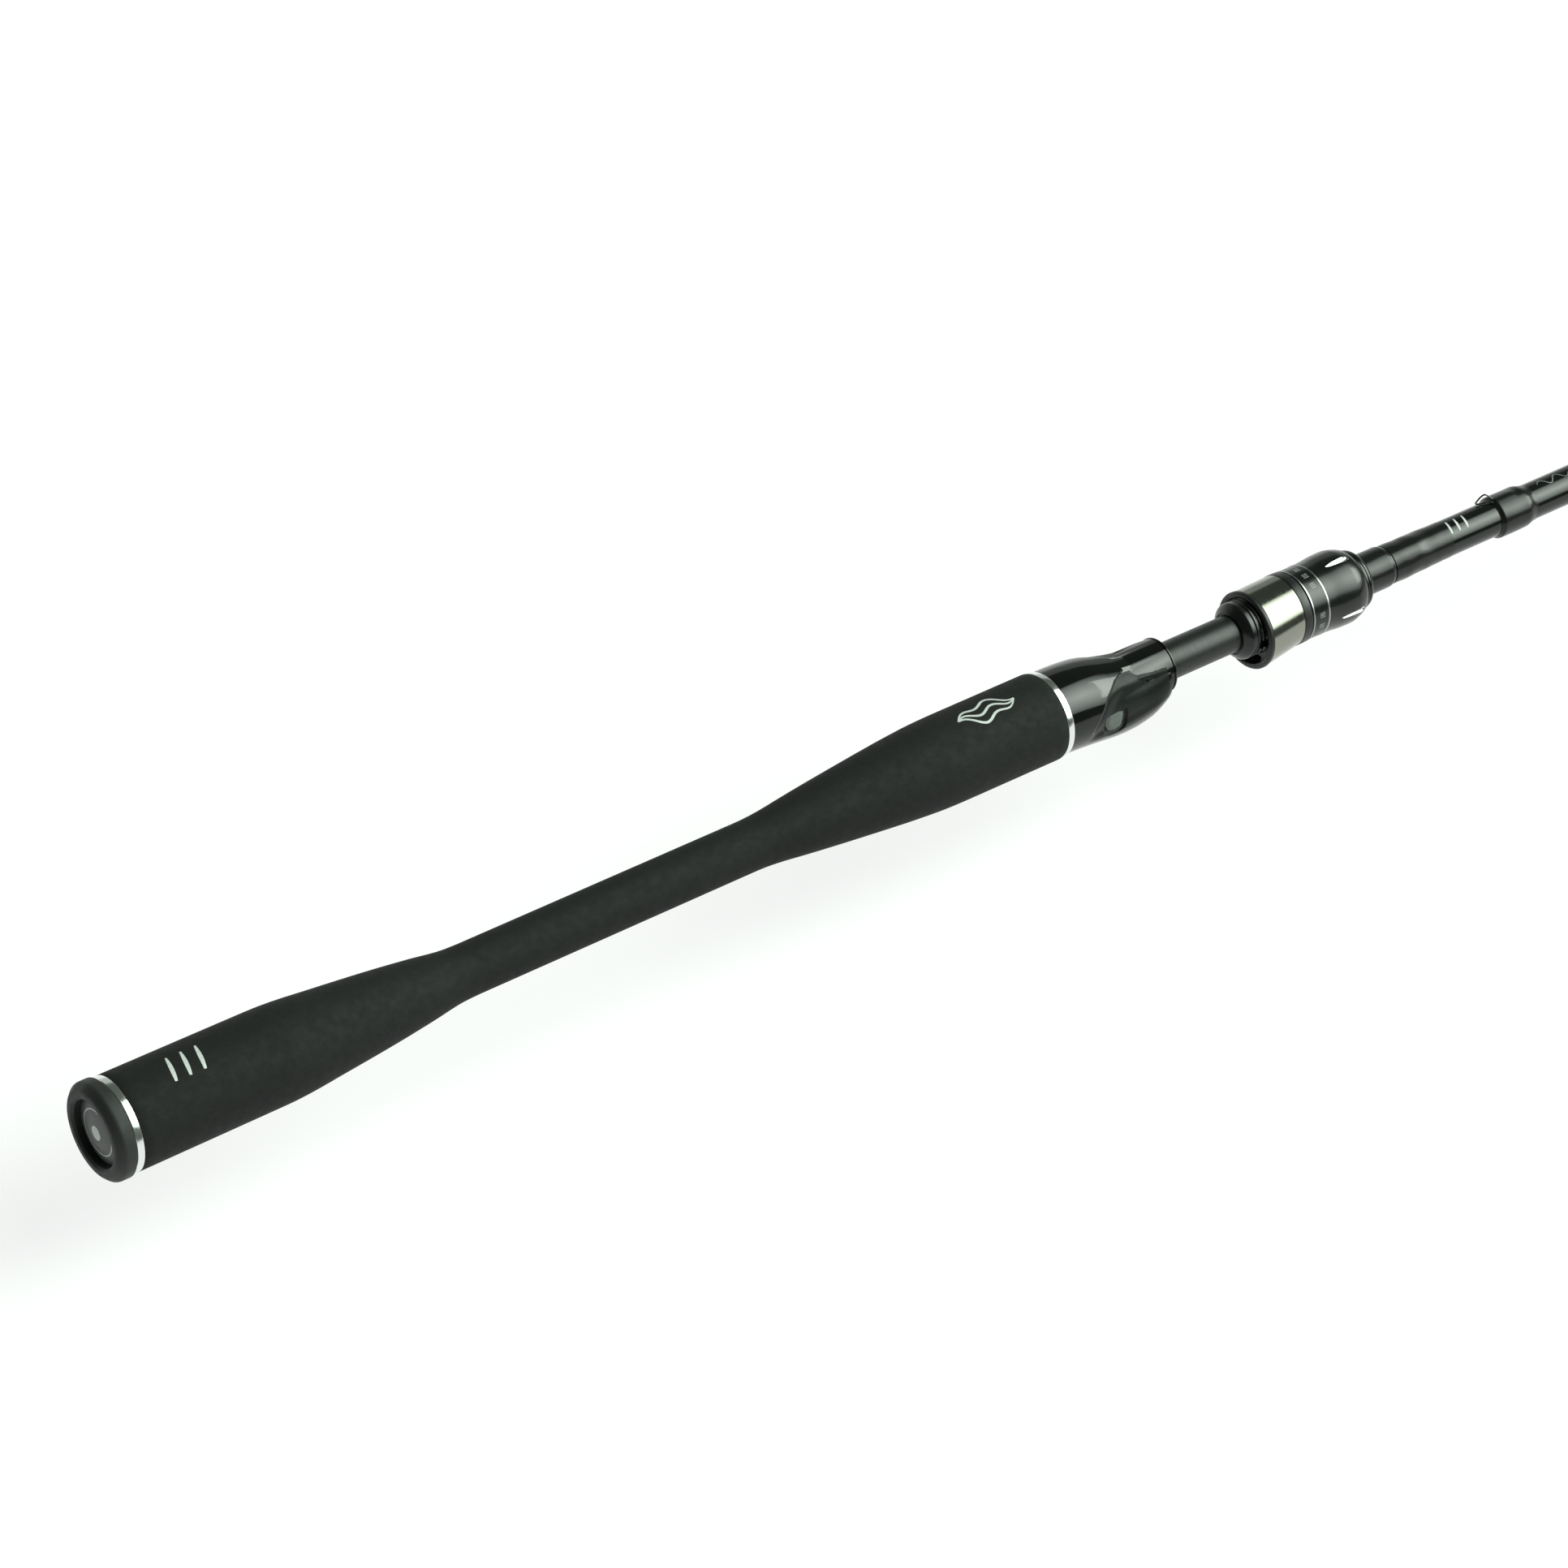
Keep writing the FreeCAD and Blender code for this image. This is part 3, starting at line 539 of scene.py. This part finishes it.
def make_handle():
    """Butt cap with its badge, foam grip and the two polished checks."""
    mouth = [(0.9, 0.0), (0.9, 9.2), (-1.7, 9.2)]
    rim = [(-2.4, 9.9), (-2.4, 11.6)]
    cap = mouth + rim + [(-0.6, 13.4), (2.55, 13.4), (2.6, 4.4), (14.0, 4.4), (15.0, 3.4), (15.0, 0.0)]
    radii = [0, 0.3, 0.5, 0.5, 1.6, 1.9, 0.18, 0, 0, 0, 0]
    place(turned("cap", rounded(cap, radii, 8), FIN["rubber"]), "rod", "cap_rubber", "butt_cap")

    crown = [(badge_x(0.45 * i), 0.45 * i) for i in range(20)]
    badge = crown + [(0.06, 8.93), (0.2, 9.02), (0.9, 9.02), (0.9, 0.0)]
    place(turned("cap_badge", badge, FIN["badge"]), "rod", "badge_grey", "butt_badge")

    sunk, proud = 0.1, -0.03
    ring_in, ring_out, dot_r = 6.1, 6.5, 2.0
    mark = [(badge_x(ring_in) + sunk, ring_in), (badge_x(ring_in) + proud, ring_in + 0.02),
            (badge_x(ring_out) + proud, ring_out - 0.02), (badge_x(ring_out) + sunk, ring_out)]
    place(turned("cap_badge_ring", mark, FIN["print"]), "rod", "badge_grey")
    dot = [(badge_x(0) + sunk, 0.0), (badge_x(0) + proud, 0.0), (badge_x(dot_r) + proud, dot_r),
           (badge_x(dot_r) + sunk, dot_r + 0.02)]
    place(turned("cap_badge_dot", dot, FIN["print"]), "rod", "badge_grey")

    ring = [(2.6, 5.8), (2.6, 12.45), (3.15, 13.0), (4.9, 13.0), (5.0, 12.9), (5.0, 5.8)]
    ring = rounded(ring, [0, 0.1, 0.25, 0.12, 0, 0], 4)
    place(turned("butt_check", ring, FIN["polished"], sharp=50), "rod", "ring_polished", "butt_ring")

    grip = smooth_grip_outline() + [(GRIP_END_X, 5.5), (GRIP_X, 5.8)]
    place(turned("foam_grip", grip, FIN["foam"], 200), "rod", "grip_foam", "grip")

    check = [(GRIP_END_X, 5.5), (GRIP_END_X, 12.55), (300.7, 12.3), (301.0, 12.05), (301.0, 5.5)]
    check = rounded(check, [0, 0.12, 0.2, 0, 0], 4)
    place(turned("front_check", check, FIN["polished"], sharp=50), "rod", "ring_polished", "front_grip_ring")


# ---------------------------------------------------------------- fixed hood

HOOD_SECTIONS = [(301.0, 12.0, 0.0), (305.0, 12.1, -0.1), (309.0, 12.15, -0.4), (314.5, 12.15, -1.09),
                 (320.0, 11.95, -2.2), (325.0, 11.5, -3.1), (330.0, 10.85, -3.5), (335.0, 10.1, -3.0),
                 (338.6, 8.9, -1.6), (341.5, 8.0, -0.6)]       # station, radius, height of the centre
BORDER_X, SHELL_END_X, TUBE_END_X, REAR_TRIM_END_X = 323.1, 338.6, 339.9, 341.0
PAD_X, PAD_TURN = 316.8, 95
HOOD_CREASE = [(18.3, BORDER_X), (29.6, 318.8), (49.6, 313.7), (69.8, 310.4), (90.8, 307.4), (114.6, 305.7)]
HOOD_BORDER = [(BORDER_X, 18.3), (326.6, 28.0), (332.2, 34.6), (338.5, 40.0), (342.0, 42.0)]


def section_smooth(x):
    """Radius and height of the fixed hood's section, smoothed over the table's corners."""
    total = [0.0, 0.0]
    for k in (-2, -1, 0, 1, 2):
        r, z = lerp_table(HOOD_SECTIONS, x + k * 1.2)
        total[0] += r
        total[1] += z
    return total[0] / 5, total[1] / 5


def pad_edge(x, a):
    """Distance from the side pad's centre, 1 at its edge; the pad is rounder at the bottom than at the top."""
    power = 5.0 if a < PAD_TURN else 2.6
    return (abs((x - PAD_X) / 3.0) ** power + abs((a - PAD_TURN) / 12.5) ** power) ** (1 / power)


def hood_finish(x, turn):
    """0 the gloss shell, 1 the duller side recess, 2 the pad, whose light grey colour is a painted reflection.
    """
    a = abs(turn)
    if a < 118 and pad_edge(x, a) < 1.0:
        return 2
    below_border = x < BORDER_X or a > lerp_table(HOOD_BORDER, x) + 2.0
    return int(x < 337.5 and 26 < a < 106 and x > lerp_table(HOOD_CREASE, a) + 0.7 and below_border)


def fixed_hood_r(x, turn):
    """Outside radius of the fixed hood's shell; the round tube is a piece of its own.

    The border divides the tube on top from the lip around the mouth. In front of the crease the side is sunk
    and dished, and the pad stands there in a shallow moat.
    """
    a = abs(turn)
    radius, z = section_smooth(x)
    t = math.radians(a)
    r = z * math.cos(t) + math.sqrt(radius * radius - (z * math.sin(t)) ** 2)
    if x > BORDER_X:
        border = lerp_table(HOOD_BORDER, x)
        if a > border:
            lip = 0.9 * max(0.0, min(1.0, (338.5 - x) / 14.5))
            r = max(r, SEAT_TUBE_R + 0.05 + lip * smoothstep((a - border) / 16))
        elif x > 327.5:
            r = min(r, SEAT_TUBE_R - 0.04 * (border - a))
    if a < 112:
        crease = lerp_table(HOOD_CREASE, a)
        fade = smoothstep((a - 12) / 10) * smoothstep((112 - a) / 14)
        width = 0.9 + 2.6 * smoothstep((a - 84) / 20)
        r -= 0.42 * smoothstep((x - crease) / width) * smoothstep((crease + 24 - x) / 18) * fade
        dish = smoothstep((x - crease - 0.6) / 6.5) * smoothstep((339 - x) / 11)
        r -= 0.75 * dish * smoothstep((a - 40) / 24) * smoothstep((112 - a) / 16)
    edge = pad_edge(x, a)
    return r + 0.25 * smoothstep((0.9 - edge) / 0.2) - 0.55 * smoothstep((1.5 - edge) / 0.25)


def make_fixed_hood():
    """The shell with its tube and the pocket for the reel's foot, and the trim ring in front."""
    xs = [REAR_HOOD_X + 0.05 + i * 0.25 for i in range(150)] + [SHELL_END_X - 0.15, SHELL_END_X]
    shell = relief("fixed_hood", xs, fixed_hood_r, SEAT_BORE_R, FIN["gloss"], 320, 24.0)
    tube = [(312.0, SEAT_BORE_R), (312.0, SEAT_TUBE_R), (TUBE_END_X, SEAT_TUBE_R), (TUBE_END_X, SEAT_BORE_R)]
    tube = turned("tube", tube, FIN["gloss"], 240)
    boolean(shell, tube, "UNION")
    pocket = [(317.0, 0.0), (317.0, 8.6), (345.0, 8.6), (345.0, 0.0)]
    pocket = turned("pocket", pocket, FIN["inner"], 96, z=-3.3)
    boolean(pocket, block(316.0, 346.0, -POCKET_HALF_W, POCKET_HALF_W, -14.0, FOOT_FLOOR_Z), "INTERSECT")
    boolean(shell, pocket)
    resharpen(shell, 26.0)
    shell.data.materials.clear()
    # The pad finish carries a painted reflection in its colour.
    for key in ("gloss", "recess", "pad"):
        shell.data.materials.append(FIN[key])
    for f in shell.data.polygons:
        x, y, z = f.center / MM
        outside = math.hypot(y, z) > SEAT_TUBE_R + 0.06 and f.normal.y * y + f.normal.z * z > 0
        f.material_index = hood_finish(x, math.degrees(math.atan2(y, z))) if outside else 0
    place(shell, "rod", "seat_plastic", "rear_hood")

    trim = [(TUBE_END_X, SEAT_BORE_R), (TUBE_END_X, 7.55), (340.15, 7.55), (340.15, 8.05), (340.7, 8.05),
            (REAR_TRIM_END_X, 7.65), (REAR_TRIM_END_X, SEAT_BORE_R)]
    trim = rounded(trim, [0, 0, 0, 0.12, 0.25, 0.15, 0], 4)
    place(turned("hood_trim", trim, FIN["gloss"]), "rod", "seat_plastic", "rear_hood_trim")


# ---------------------------------------------------------------- barrel

COLLAR_LENGTH, THREAD_DEPTH = 2.1, 0.55


def barrel_r(x, turn):
    """Outside of the barrel: coned collar, groove, land, right-hand thread, side slots and foot landing."""
    if x < BARREL_X + COLLAR_LENGTH:
        t = (BARREL_X + COLLAR_LENGTH - x) / COLLAR_LENGTH
        r = THREAD_R - (THREAD_R - SEAT_BORE_R - 0.1) * max(0.0, t) ** 1.5
    elif x < THREAD_X:
        r = THREAD_R - 0.35 * max(0.0, 1 - abs(x - BARREL_X - 3.6) / 0.3)
    else:
        phase = ((x - THREAD_X - 0.3) / THREAD_PITCH + turn / 360.0) % 1.0
        flank = abs(phase - 0.5) * 2
        r = THREAD_R - THREAD_DEPTH + THREAD_DEPTH * (1 - smoothstep((flank - 0.24) / 0.56))
    t = math.radians(turn)
    if x > THREAD_X and abs(r * math.cos(t)) < KEY_HALF_W:
        r = min(r, SLOT_FLOOR / max(abs(math.sin(t)), 0.5))
    if r * math.cos(t) < FOOT_FLOOR_Z:
        r = FOOT_FLOOR_Z / math.cos(t)
    return r


def make_barrel():
    """Stations lie closer where the collar curves and where the thread shows."""
    xs = [BARREL_X + COLLAR_LENGTH * (1 - math.cos(math.pi / 2 * i / 10)) for i in range(10)]
    xs += [BARREL_X + COLLAR_LENGTH + 0.15 * i for i in range(16)]
    x = THREAD_X + 0.05
    while x < BARREL_END_X:
        xs.append(x)
        x += 0.15 if x < 381 else 0.3
    xs.append(BARREL_END_X)
    piece = relief("barrel_thread", xs, barrel_r, SEAT_BORE_R, FIN["barrel"], 216, 30.0)
    place(piece, "rod", "seat_plastic", "barrel")


# ---------------------------------------------------------------- sliding hood

def hood_axis(x):
    """Height of the sliding hood's axis, which rises to the rod's along the sleeve."""
    share = max(0.0, min(1.0, (x - SLEEVE_X) / (SLEEVE_END_X - SLEEVE_X)))
    return -HOOD_DROP * (1 - share)


def make_sliding_hood():
    """Rim ring with the foot pocket's opening, bare metal sleeve and front collar."""
    rim = [(HOOD_X, HOOD_MOUTH_R), (HOOD_X, HOOD_RIM_R), (SLEEVE_X, HOOD_RIM_R), (SLEEVE_X, HOOD_MOUTH_R)]
    rim = turned("hood_rim_ring", rounded(rim, [0.7, 0.9, 0.35, 0.3], 8), FIN["rim"], 200, z=-HOOD_DROP)
    x0, x1 = HOOD_X - 1, SLEEVE_X + 1
    bore = [(x0, 0.0), (x0, BORE_R), (x1, BORE_R), (x1, 0.0)]
    boolean(rim, turned("bore", bore, FIN["rim"], 160))
    pocket = [(x0, 0.0), (x0, 9.75), (x1, 9.75), (x1, 0.0)]
    pocket = turned("pocket", pocket, FIN["rim"], 160, z=-HOOD_DROP)
    wide = block(x0 - 1, x1 + 1, -POCKET_HALF_W, POCKET_HALF_W, -20, FOOT_FLOOR_Z + 1.5)
    boolean(pocket, wide, "INTERSECT")
    boolean(rim, pocket)
    resharpen(rim)
    place(rim, "hood", "cap_rubber", "hood_rim")

    span = SLEEVE_END_X - SLEEVE_X
    fall = HOOD_SLEEVE_R - HOOD_FRONT_R
    outer = [(SLEEVE_X + span * i / 10, HOOD_SLEEVE_R - fall * i / 10) for i in range(11)]
    outer[0] = (SLEEVE_X + 0.08, HOOD_SLEEVE_R)
    outer[-1] = (SLEEVE_END_X - 0.08, HOOD_FRONT_R)
    outline = [(SLEEVE_X, HOOD_SLEEVE_R - 0.6), (SLEEVE_X, HOOD_SLEEVE_R - 0.1)] + outer
    outline += [(SLEEVE_END_X, HOOD_FRONT_R - 0.1), (SLEEVE_END_X, HOOD_FRONT_R - 0.6)]
    sleeve = turned("hood_metal_sleeve", outline, FIN["sleeve"], 220, centre_z=hood_axis)
    place(sleeve, "hood", "sleeve_nickel", "hood_sleeve")

    collar = [(SLEEVE_END_X + 0.02, NECK_R + 0.03), (SLEEVE_END_X + 0.02, HOOD_FRONT_R + 0.1),
              (COLLAR_END_X, HOOD_FRONT_R + 0.1), (COLLAR_END_X, NECK_R + 0.03)]
    collar = rounded(collar, [0, 0.25, 0.35, 0], 5)
    place(turned("hood_front_collar", collar, FIN["rim"]), "hood", "seat_plastic", "hood_collar")
    for node in ("hood_body", "snap_ring"):
        dress(node, "inner")


# ---------------------------------------------------------------- lock nut

NUT_BAND_R = 10.42


def finger_cut_outline():
    """A teardrop: a long point towards the rear and a round front end."""
    point_x, round_x, radius = 398.6, 407.0, 0.84
    outline = [(point_x, 0.0)]
    for i in range(1, 17):
        t = math.pi / 2 * i / 16
        outline.append((point_x + (round_x - point_x) * (1 - math.cos(t)), radius * math.sin(t) ** 1.3))
    for i in range(1, 8):
        t = math.pi / 2 * i / 8
        outline.append((round_x + radius * math.sin(t), radius * math.cos(t)))
    return outline + [(round_x + radius, 0.0)]


def make_nut():
    """The lock nut: a band with a bright line at each end, a belly with four finger cuts, a stepped nose."""
    belly = [(394.7, 10.42), (397.5, 10.52), (401.0, 10.82), (403.6, 10.93), (405.5, 10.92)]
    belly = spline(belly, 0.25)
    belly += [(407.0, 10.62), (408.3, 10.25), (409.2, 9.85), (409.7, 9.45)]
    band = [(388.4, 9.4), (388.4, 10.25), (388.55, 10.45), (388.62, 10.52), (389.02, 10.52), (389.08, 10.42),
            (394.18, 10.40), (394.24, 10.50), (394.62, 10.50)]
    nose = [(409.75, 9.0), (409.9, 9.0), (409.98, 9.18), (410.3, 9.25), (410.7, 9.15), (411.0, 8.85)]
    nose += [(411.05, 8.55), (411.25, 8.55), (411.3, 8.8), (411.7, 8.82), (412.3, 8.6), (412.8, 8.15)]
    inside = [(413.1, 7.5), (413.1, 6.6), (410.2, 6.6), (408.8, 8.0), (408.8, 9.3), (392.8, 9.3)]
    inside.append((392.8, 9.25))

    def finish_of(x, r):
        """0 black, 2 a bright line at either end of the marked band."""
        return 2 * int(r > 10.3 and (388.6 < x < 389.05 or 394.2 < x < 394.66))

    finishes = [FIN["nut"], FIN["cut"], FIN["line"]]
    nut = turned("nut_body", band + belly + nose + inside, finishes, 256, material_of=finish_of, sharp=28.0)
    for turn in (0, 90, 180, 270):
        cutter = turned("cutter", finger_cut_outline(), finishes, 48, z=10.9)
        for f in cutter.data.polygons:
            f.material_index = 1
        cutter.data.transform(Matrix.Rotation(math.radians(turn), 4, "X"))
        boolean(nut, cutter)
    resharpen(nut, 28.0)
    place(nut, "nut", "nut_anodised", "nut_shell")

    marks = []                              # three blocks of three bars in each quarter turn
    for group in (0, 90, 180, 270):
        for i in range(3):
            around = math.radians(group - 19 + 20 * i - 180) * NUT_BAND_R
            for k in (-1, 0, 1):
                line = [(-0.9, around + 0.6 * k), (0.0, around + 0.6 * k), (0.9, around + 0.6 * k)]
                marks.append((line, lambda t: 0.32))
    scale = printed("nut_scale", marks, lambda x: NUT_BAND_R - 0.01, 391.8, 0.0, FIN["faint"], -0.03, 0.04)
    place(scale, "nut", "nut_anodised")
    dress("nut_insert", "inner")


# ---------------------------------------------------------------- blank, windings, hook keeper

def make_blank():
    """The tapered tube, satin in the seat and glossy in front of it."""
    gloss_x = 416.0
    outer = [(2.6, 5.75), (300.0, lerp_table(BLANK_TAPER, 300.0)), (gloss_x, blank_r(gloss_x)), (520.0, 5.26)]
    outer += [(x, blank_r(x)) for x in range(600, 2100, 75)] + [(TIP_X - 8.0, 0.95)]
    inner = [(TIP_X - 8.0, 0.5), (2.6, 4.55)]
    piece = turned("blank_tube", outer + inner, [FIN["satin_blank"], FIN["gloss_blank"]], 128,
                   material_of=lambda x, r: int(x > gloss_x))
    place(piece, "rod", "blank_black", "blank")


def lumps(x, turn, seed, size, depth):
    """Uneven lacquer: a smooth random height on the surface."""
    t = math.radians(turn)
    p = Vector((x / size, 5.5 * math.sin(t) / size, 5.5 * math.cos(t) / size + seed))
    return depth * noise.noise(p)


def make_windings():
    """Thread under lacquer: in front of the lock nut, up the blank, and over the hook keeper's feet."""
    def trim_r(x, turn):
        t = blank_r(x) + 0.74 + lumps(x, turn, 3.0, 6.0, 0.08)
        if x > TRIM_END_X - 1.2:
            t -= 0.28 * smoothstep((x - TRIM_END_X + 1.2) / 1.2)
        return t

    xs = [403.5 + 0.4 * i for i in range(51)] + [TRIM_END_X]
    wrap = relief("trim_wrap", xs, trim_r, 5.5, FIN["lacquer"], 160)
    place(wrap, "rod", "winding_lacquer", "trim_winding")

    def front_r(x, turn):
        cover = 0.42 - 0.30 * smoothstep((x - 428) / 15)
        cover *= 1 - 0.75 * smoothstep((x - 440) / 6)
        return blank_r(x) + cover + lumps(x, turn, 9.0, 4.5, 0.22) * (1 - 0.8 * smoothstep((x - 434) / 10))

    xs = [TRIM_END_X + 0.4 + 0.45 * i for i in range(50)]
    wrap = relief("front_wrap", xs, front_r, 5.4, FIN["lacquer"], 160)
    place(wrap, "rod", "winding_lacquer", "front_winding")

    def keeper_r(x, turn):
        x0, x1 = KEEPER_WINDING_X, KEEPER_WINDING_X + 14.5
        cover = 0.12 + 0.76 * smoothstep((x - x0) / 1.4) * smoothstep((x1 - x) / 4.0)
        over_feet = 0.22 * math.exp(-((turn - 9.5) / 12) ** 2)
        over_feet *= smoothstep((x - x0) / 1.0) * smoothstep((x1 - 5 - x) / 2)
        return blank_r(x) + cover + over_feet + lumps(x, turn, 15.0, 5.0, 0.1) * smoothstep((x - x0) / 2)

    xs = [KEEPER_WINDING_X + 14.5 * i / 48 for i in range(49)]
    wrap = relief("keeper_wrap", xs, keeper_r, 5.36, FIN["lacquer"], 160)
    place(wrap, "rod", "winding_lacquer", "keeper_winding")


def make_hook_keeper():
    """A bent wire loop with both feet under the winding; each bend is a station, turn and radius."""
    lying = blank_r(KEEPER_WINDING_X) + 0.38
    bends = [(473.5, 5.0, lying), (469.0, 5.8, lying), (465.6, 6.5, lying), (463.3, 20.0, lying + 0.05),
             (461.2, 31.0, lying + 0.03), (460.75, 34.2, lying + 0.25), (461.3, 33.0, lying + 0.85),
             (462.8, 27.0, 7.75), (463.4, 25.0, 7.95), (464.0, 22.5, 7.7), (465.9, 15.5, lying + 0.2),
             (467.4, 13.8, lying), (470.0, 13.0, lying), (473.5, 12.6, lying)]
    curve = bpy.data.curves.new("keeper", "CURVE")
    curve.dimensions = "3D"
    curve.bevel_depth = 0.25 * MM
    curve.bevel_resolution = 6
    curve.resolution_u = 8
    curve.use_fill_caps = True
    line = curve.splines.new("BEZIER")
    line.bezier_points.add(len(bends) - 1)
    for point, (x, turn, r) in zip(line.bezier_points, bends):
        point.co = polar(x, r, turn)
        point.handle_left_type = point.handle_right_type = "AUTO"
    holder = bpy.data.objects.new("keeper", curve)
    bpy.context.scene.collection.objects.link(holder)
    bpy.context.view_layer.update()
    mesh = bpy.data.meshes.new_from_object(holder.evaluated_get(bpy.context.evaluated_depsgraph_get()))
    bpy.data.objects.remove(holder)
    mesh.materials.clear()
    mesh.materials.append(FIN["wire"])
    mesh.shade_smooth()
    piece = bpy.data.objects.new("keeper_loop", mesh)
    bpy.context.scene.collection.objects.link(piece)
    place(piece, "rod", "keeper_wire", "hook_keeper")


# ---------------------------------------------------------------- printed marks

def taper(width):
    """A pen stroke's width along its length."""
    return lambda t: width * (0.45 + 0.55 * math.sin(math.pi * min(1.0, 0.1 + t * 0.9)))


def three_bars(pitch, lean, height, width):
    """Three leaning strokes side by side, a plain mark."""
    bars = []
    for k in range(3):
        stroke = [(pitch * (k - 1) + lean * t, height * (t - 0.5)) for t in [i / 12 for i in range(13)]]
        bars.append((stroke, taper(width)))
    return bars


def make_marks():
    """Plain marks where the rod carries its prints."""
    bars = three_bars(4.2, 1.5, 7.6, 1.15)
    place(printed("grip_mark_rear", bars, grip_r, 23.0, -2.0, FIN["print"]), "rod", "grip_foam")

    waves = []
    for k in (-1, 0, 1):
        wave = []
        for t in [i / 60 for i in range(61)]:
            wave.append((-9.5 + 19.0 * t, 3.0 * k * math.sin(math.pi * t) + 0.9 * math.sin(TAU * 2.0 * t)))
        waves.append((wave, taper(0.75)))
    place(printed("grip_mark_front", waves, grip_r, 277.6, 2.0, FIN["print"]), "rod", "grip_foam")

    bars = three_bars(3.0, 0.7, 4.4, 0.75)
    place(printed("blank_mark", bars, blank_r, 449.5, -7.0, FIN["print"]), "rod", "blank_black")
    wave = [(-5.0 + 12.0 * i / 50, 1.2 * math.sin(TAU * 2.0 * i / 50)) for i in range(51)]
    mark = printed("blank_mark_front", [(wave, taper(0.35))], blank_r, 487.0, 5.0, FIN["faint"])
    place(mark, "rod", "blank_black")


# ---------------------------------------------------------------- the CAD's own nodes

def dress(node, key):
    """A CAD node keeps its shape and gets a finish."""
    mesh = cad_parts[node].data
    mesh.materials.clear()
    mesh.materials.append(FIN[key])


def dress_guides():
    """Finishes for the guides, the tip and the arbors, which keep the CAD's shapes."""
    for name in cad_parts:
        if name.startswith("guide_") or name.startswith("tip_"):
            kind = name.rsplit("_", 1)[1]
            dress(name, {"frame": "guide", "ring": "ceramic", "winding": "lacquer"}[kind])
    for node in ("rear_arbor", "barrel_arbor"):
        dress(node, "inner")


# ---------------------------------------------------------------- stage, lights, camera

FLOOR_Z = CAD_BOUNDS[0][2] - 0.0005


def make_floor():
    """A bright floor under the rod, for the white background."""
    floor = Finish("floor", (0.28, 0.28, 0.28), 0.9)
    floor.shader.inputs["Specular IOR Level"].default_value = 0.0
    floor.shader.inputs["Emission Color"].default_value = (1, 1, 1, 1)
    floor.shader.inputs["Emission Strength"].default_value = 0.70
    floor.vary_color(floor.noise(0.6, 2), (0.29, 0.29, 0.29))
    bm = bmesh.new()
    bmesh.ops.create_grid(bm, x_segments=8, y_segments=8, size=9.0)
    obj = finish_mesh("studio_floor", bm, floor.material)
    obj.location = (1.0, 0.0, FLOOR_Z)


def area_light(name, centre, target, size_x, size_y, power, color=(1, 1, 1), spread=180.0):
    """A softbox whose long side runs along the rod; a grid narrows its beam to a spread in degrees."""
    data = bpy.data.lights.new(name, "AREA")
    data.shape = "RECTANGLE"
    data.size, data.size_y = size_x, size_y
    data.energy = power
    data.color = color
    data.spread = math.radians(spread)
    obj = bpy.data.objects.new(name, data)
    bpy.context.scene.collection.objects.link(obj)
    back = (Vector(centre) - Vector(target)).normalized()
    along = (Vector((1, 0, 0)) - back * back.x).normalized()
    up = back.cross(along)
    obj.matrix_world = Matrix.Translation(centre) @ Matrix((along, up, back)).transposed().to_4x4()
    return obj


def make_lights():
    """Softboxes over the handle and over the front of the rod, and a backdrop for the rim reflections."""
    world = bpy.data.worlds.new("studio")
    bpy.context.scene.world = world
    world.use_nodes = True
    background = world.node_tree.nodes["Background"]
    background.inputs["Color"].default_value = (0.85, 1.0, 0.88, 1)
    background.inputs["Strength"].default_value = 0.13
    area_light("softbox", (1.05, -0.57, 1.13), (0.10, 0.0, 0.0), 2.2, 1.75, 20.0, (0.90, 1.0, 0.915), 76.0)
    area_light("front_softbox", (2.35, -0.50, 1.10), (2.2, 0.0, 0.0), 1.3, 1.3, 28.0, (0.90, 1.0, 0.915))
    area_light("backdrop", (1.2, 1.8, 0.42), (1.2, 0.0, 0.0), 4.5, 0.85, 5.5, (0.93, 1.0, 0.94))


LENS_MM, ROD_ROLL = 132.93111801, 36.0


def make_camera():
    """The photograph's camera, in the rod's frame.

    along and start are the rod's direction and the grip's rear end, in metres, as the camera sees them
    (right, down, away); ROD_ROLL is how far the rod's top is turned up from facing the camera, in degrees.
    """
    along = Vector((0.79541, -0.34659, 0.49719)).normalized()
    towards = Vector((0, 0, -1)) + along * along.z
    towards.normalize()
    upward = along.cross(towards)
    if upward.y > 0:
        upward = -upward
    lean = math.radians(ROD_ROLL)
    top = towards * math.cos(lean) + upward * math.sin(lean)
    side = top.cross(along)
    rows = Matrix((along, side, top))
    start = Vector((-0.164113, 0.083644, 1.424623))
    data = bpy.data.cameras.new("camera")
    data.sensor_fit = "HORIZONTAL"
    data.sensor_width = 36.0
    data.lens = LENS_MM
    data.clip_start, data.clip_end = 0.01, 100.0
    camera = bpy.data.objects.new("camera", data)
    bpy.context.scene.collection.objects.link(camera)
    right, up, back = rows @ Vector((1, 0, 0)), rows @ Vector((0, -1, 0)), rows @ Vector((0, 0, -1))
    place_at = rows @ -start + Vector((GRIP_X * MM, 0, 0))
    camera.matrix_world = Matrix.Translation(place_at) @ Matrix((right, up, back)).transposed().to_4x4()
    bpy.context.scene.camera = camera


make_camera()
make_lights()
make_floor()
make_handle()
make_fixed_hood()
make_barrel()
make_sliding_hood()
make_nut()
make_blank()
make_windings()
make_hook_keeper()
make_marks()
dress_guides()

bpy.context.scene.view_settings.view_transform = "Standard"
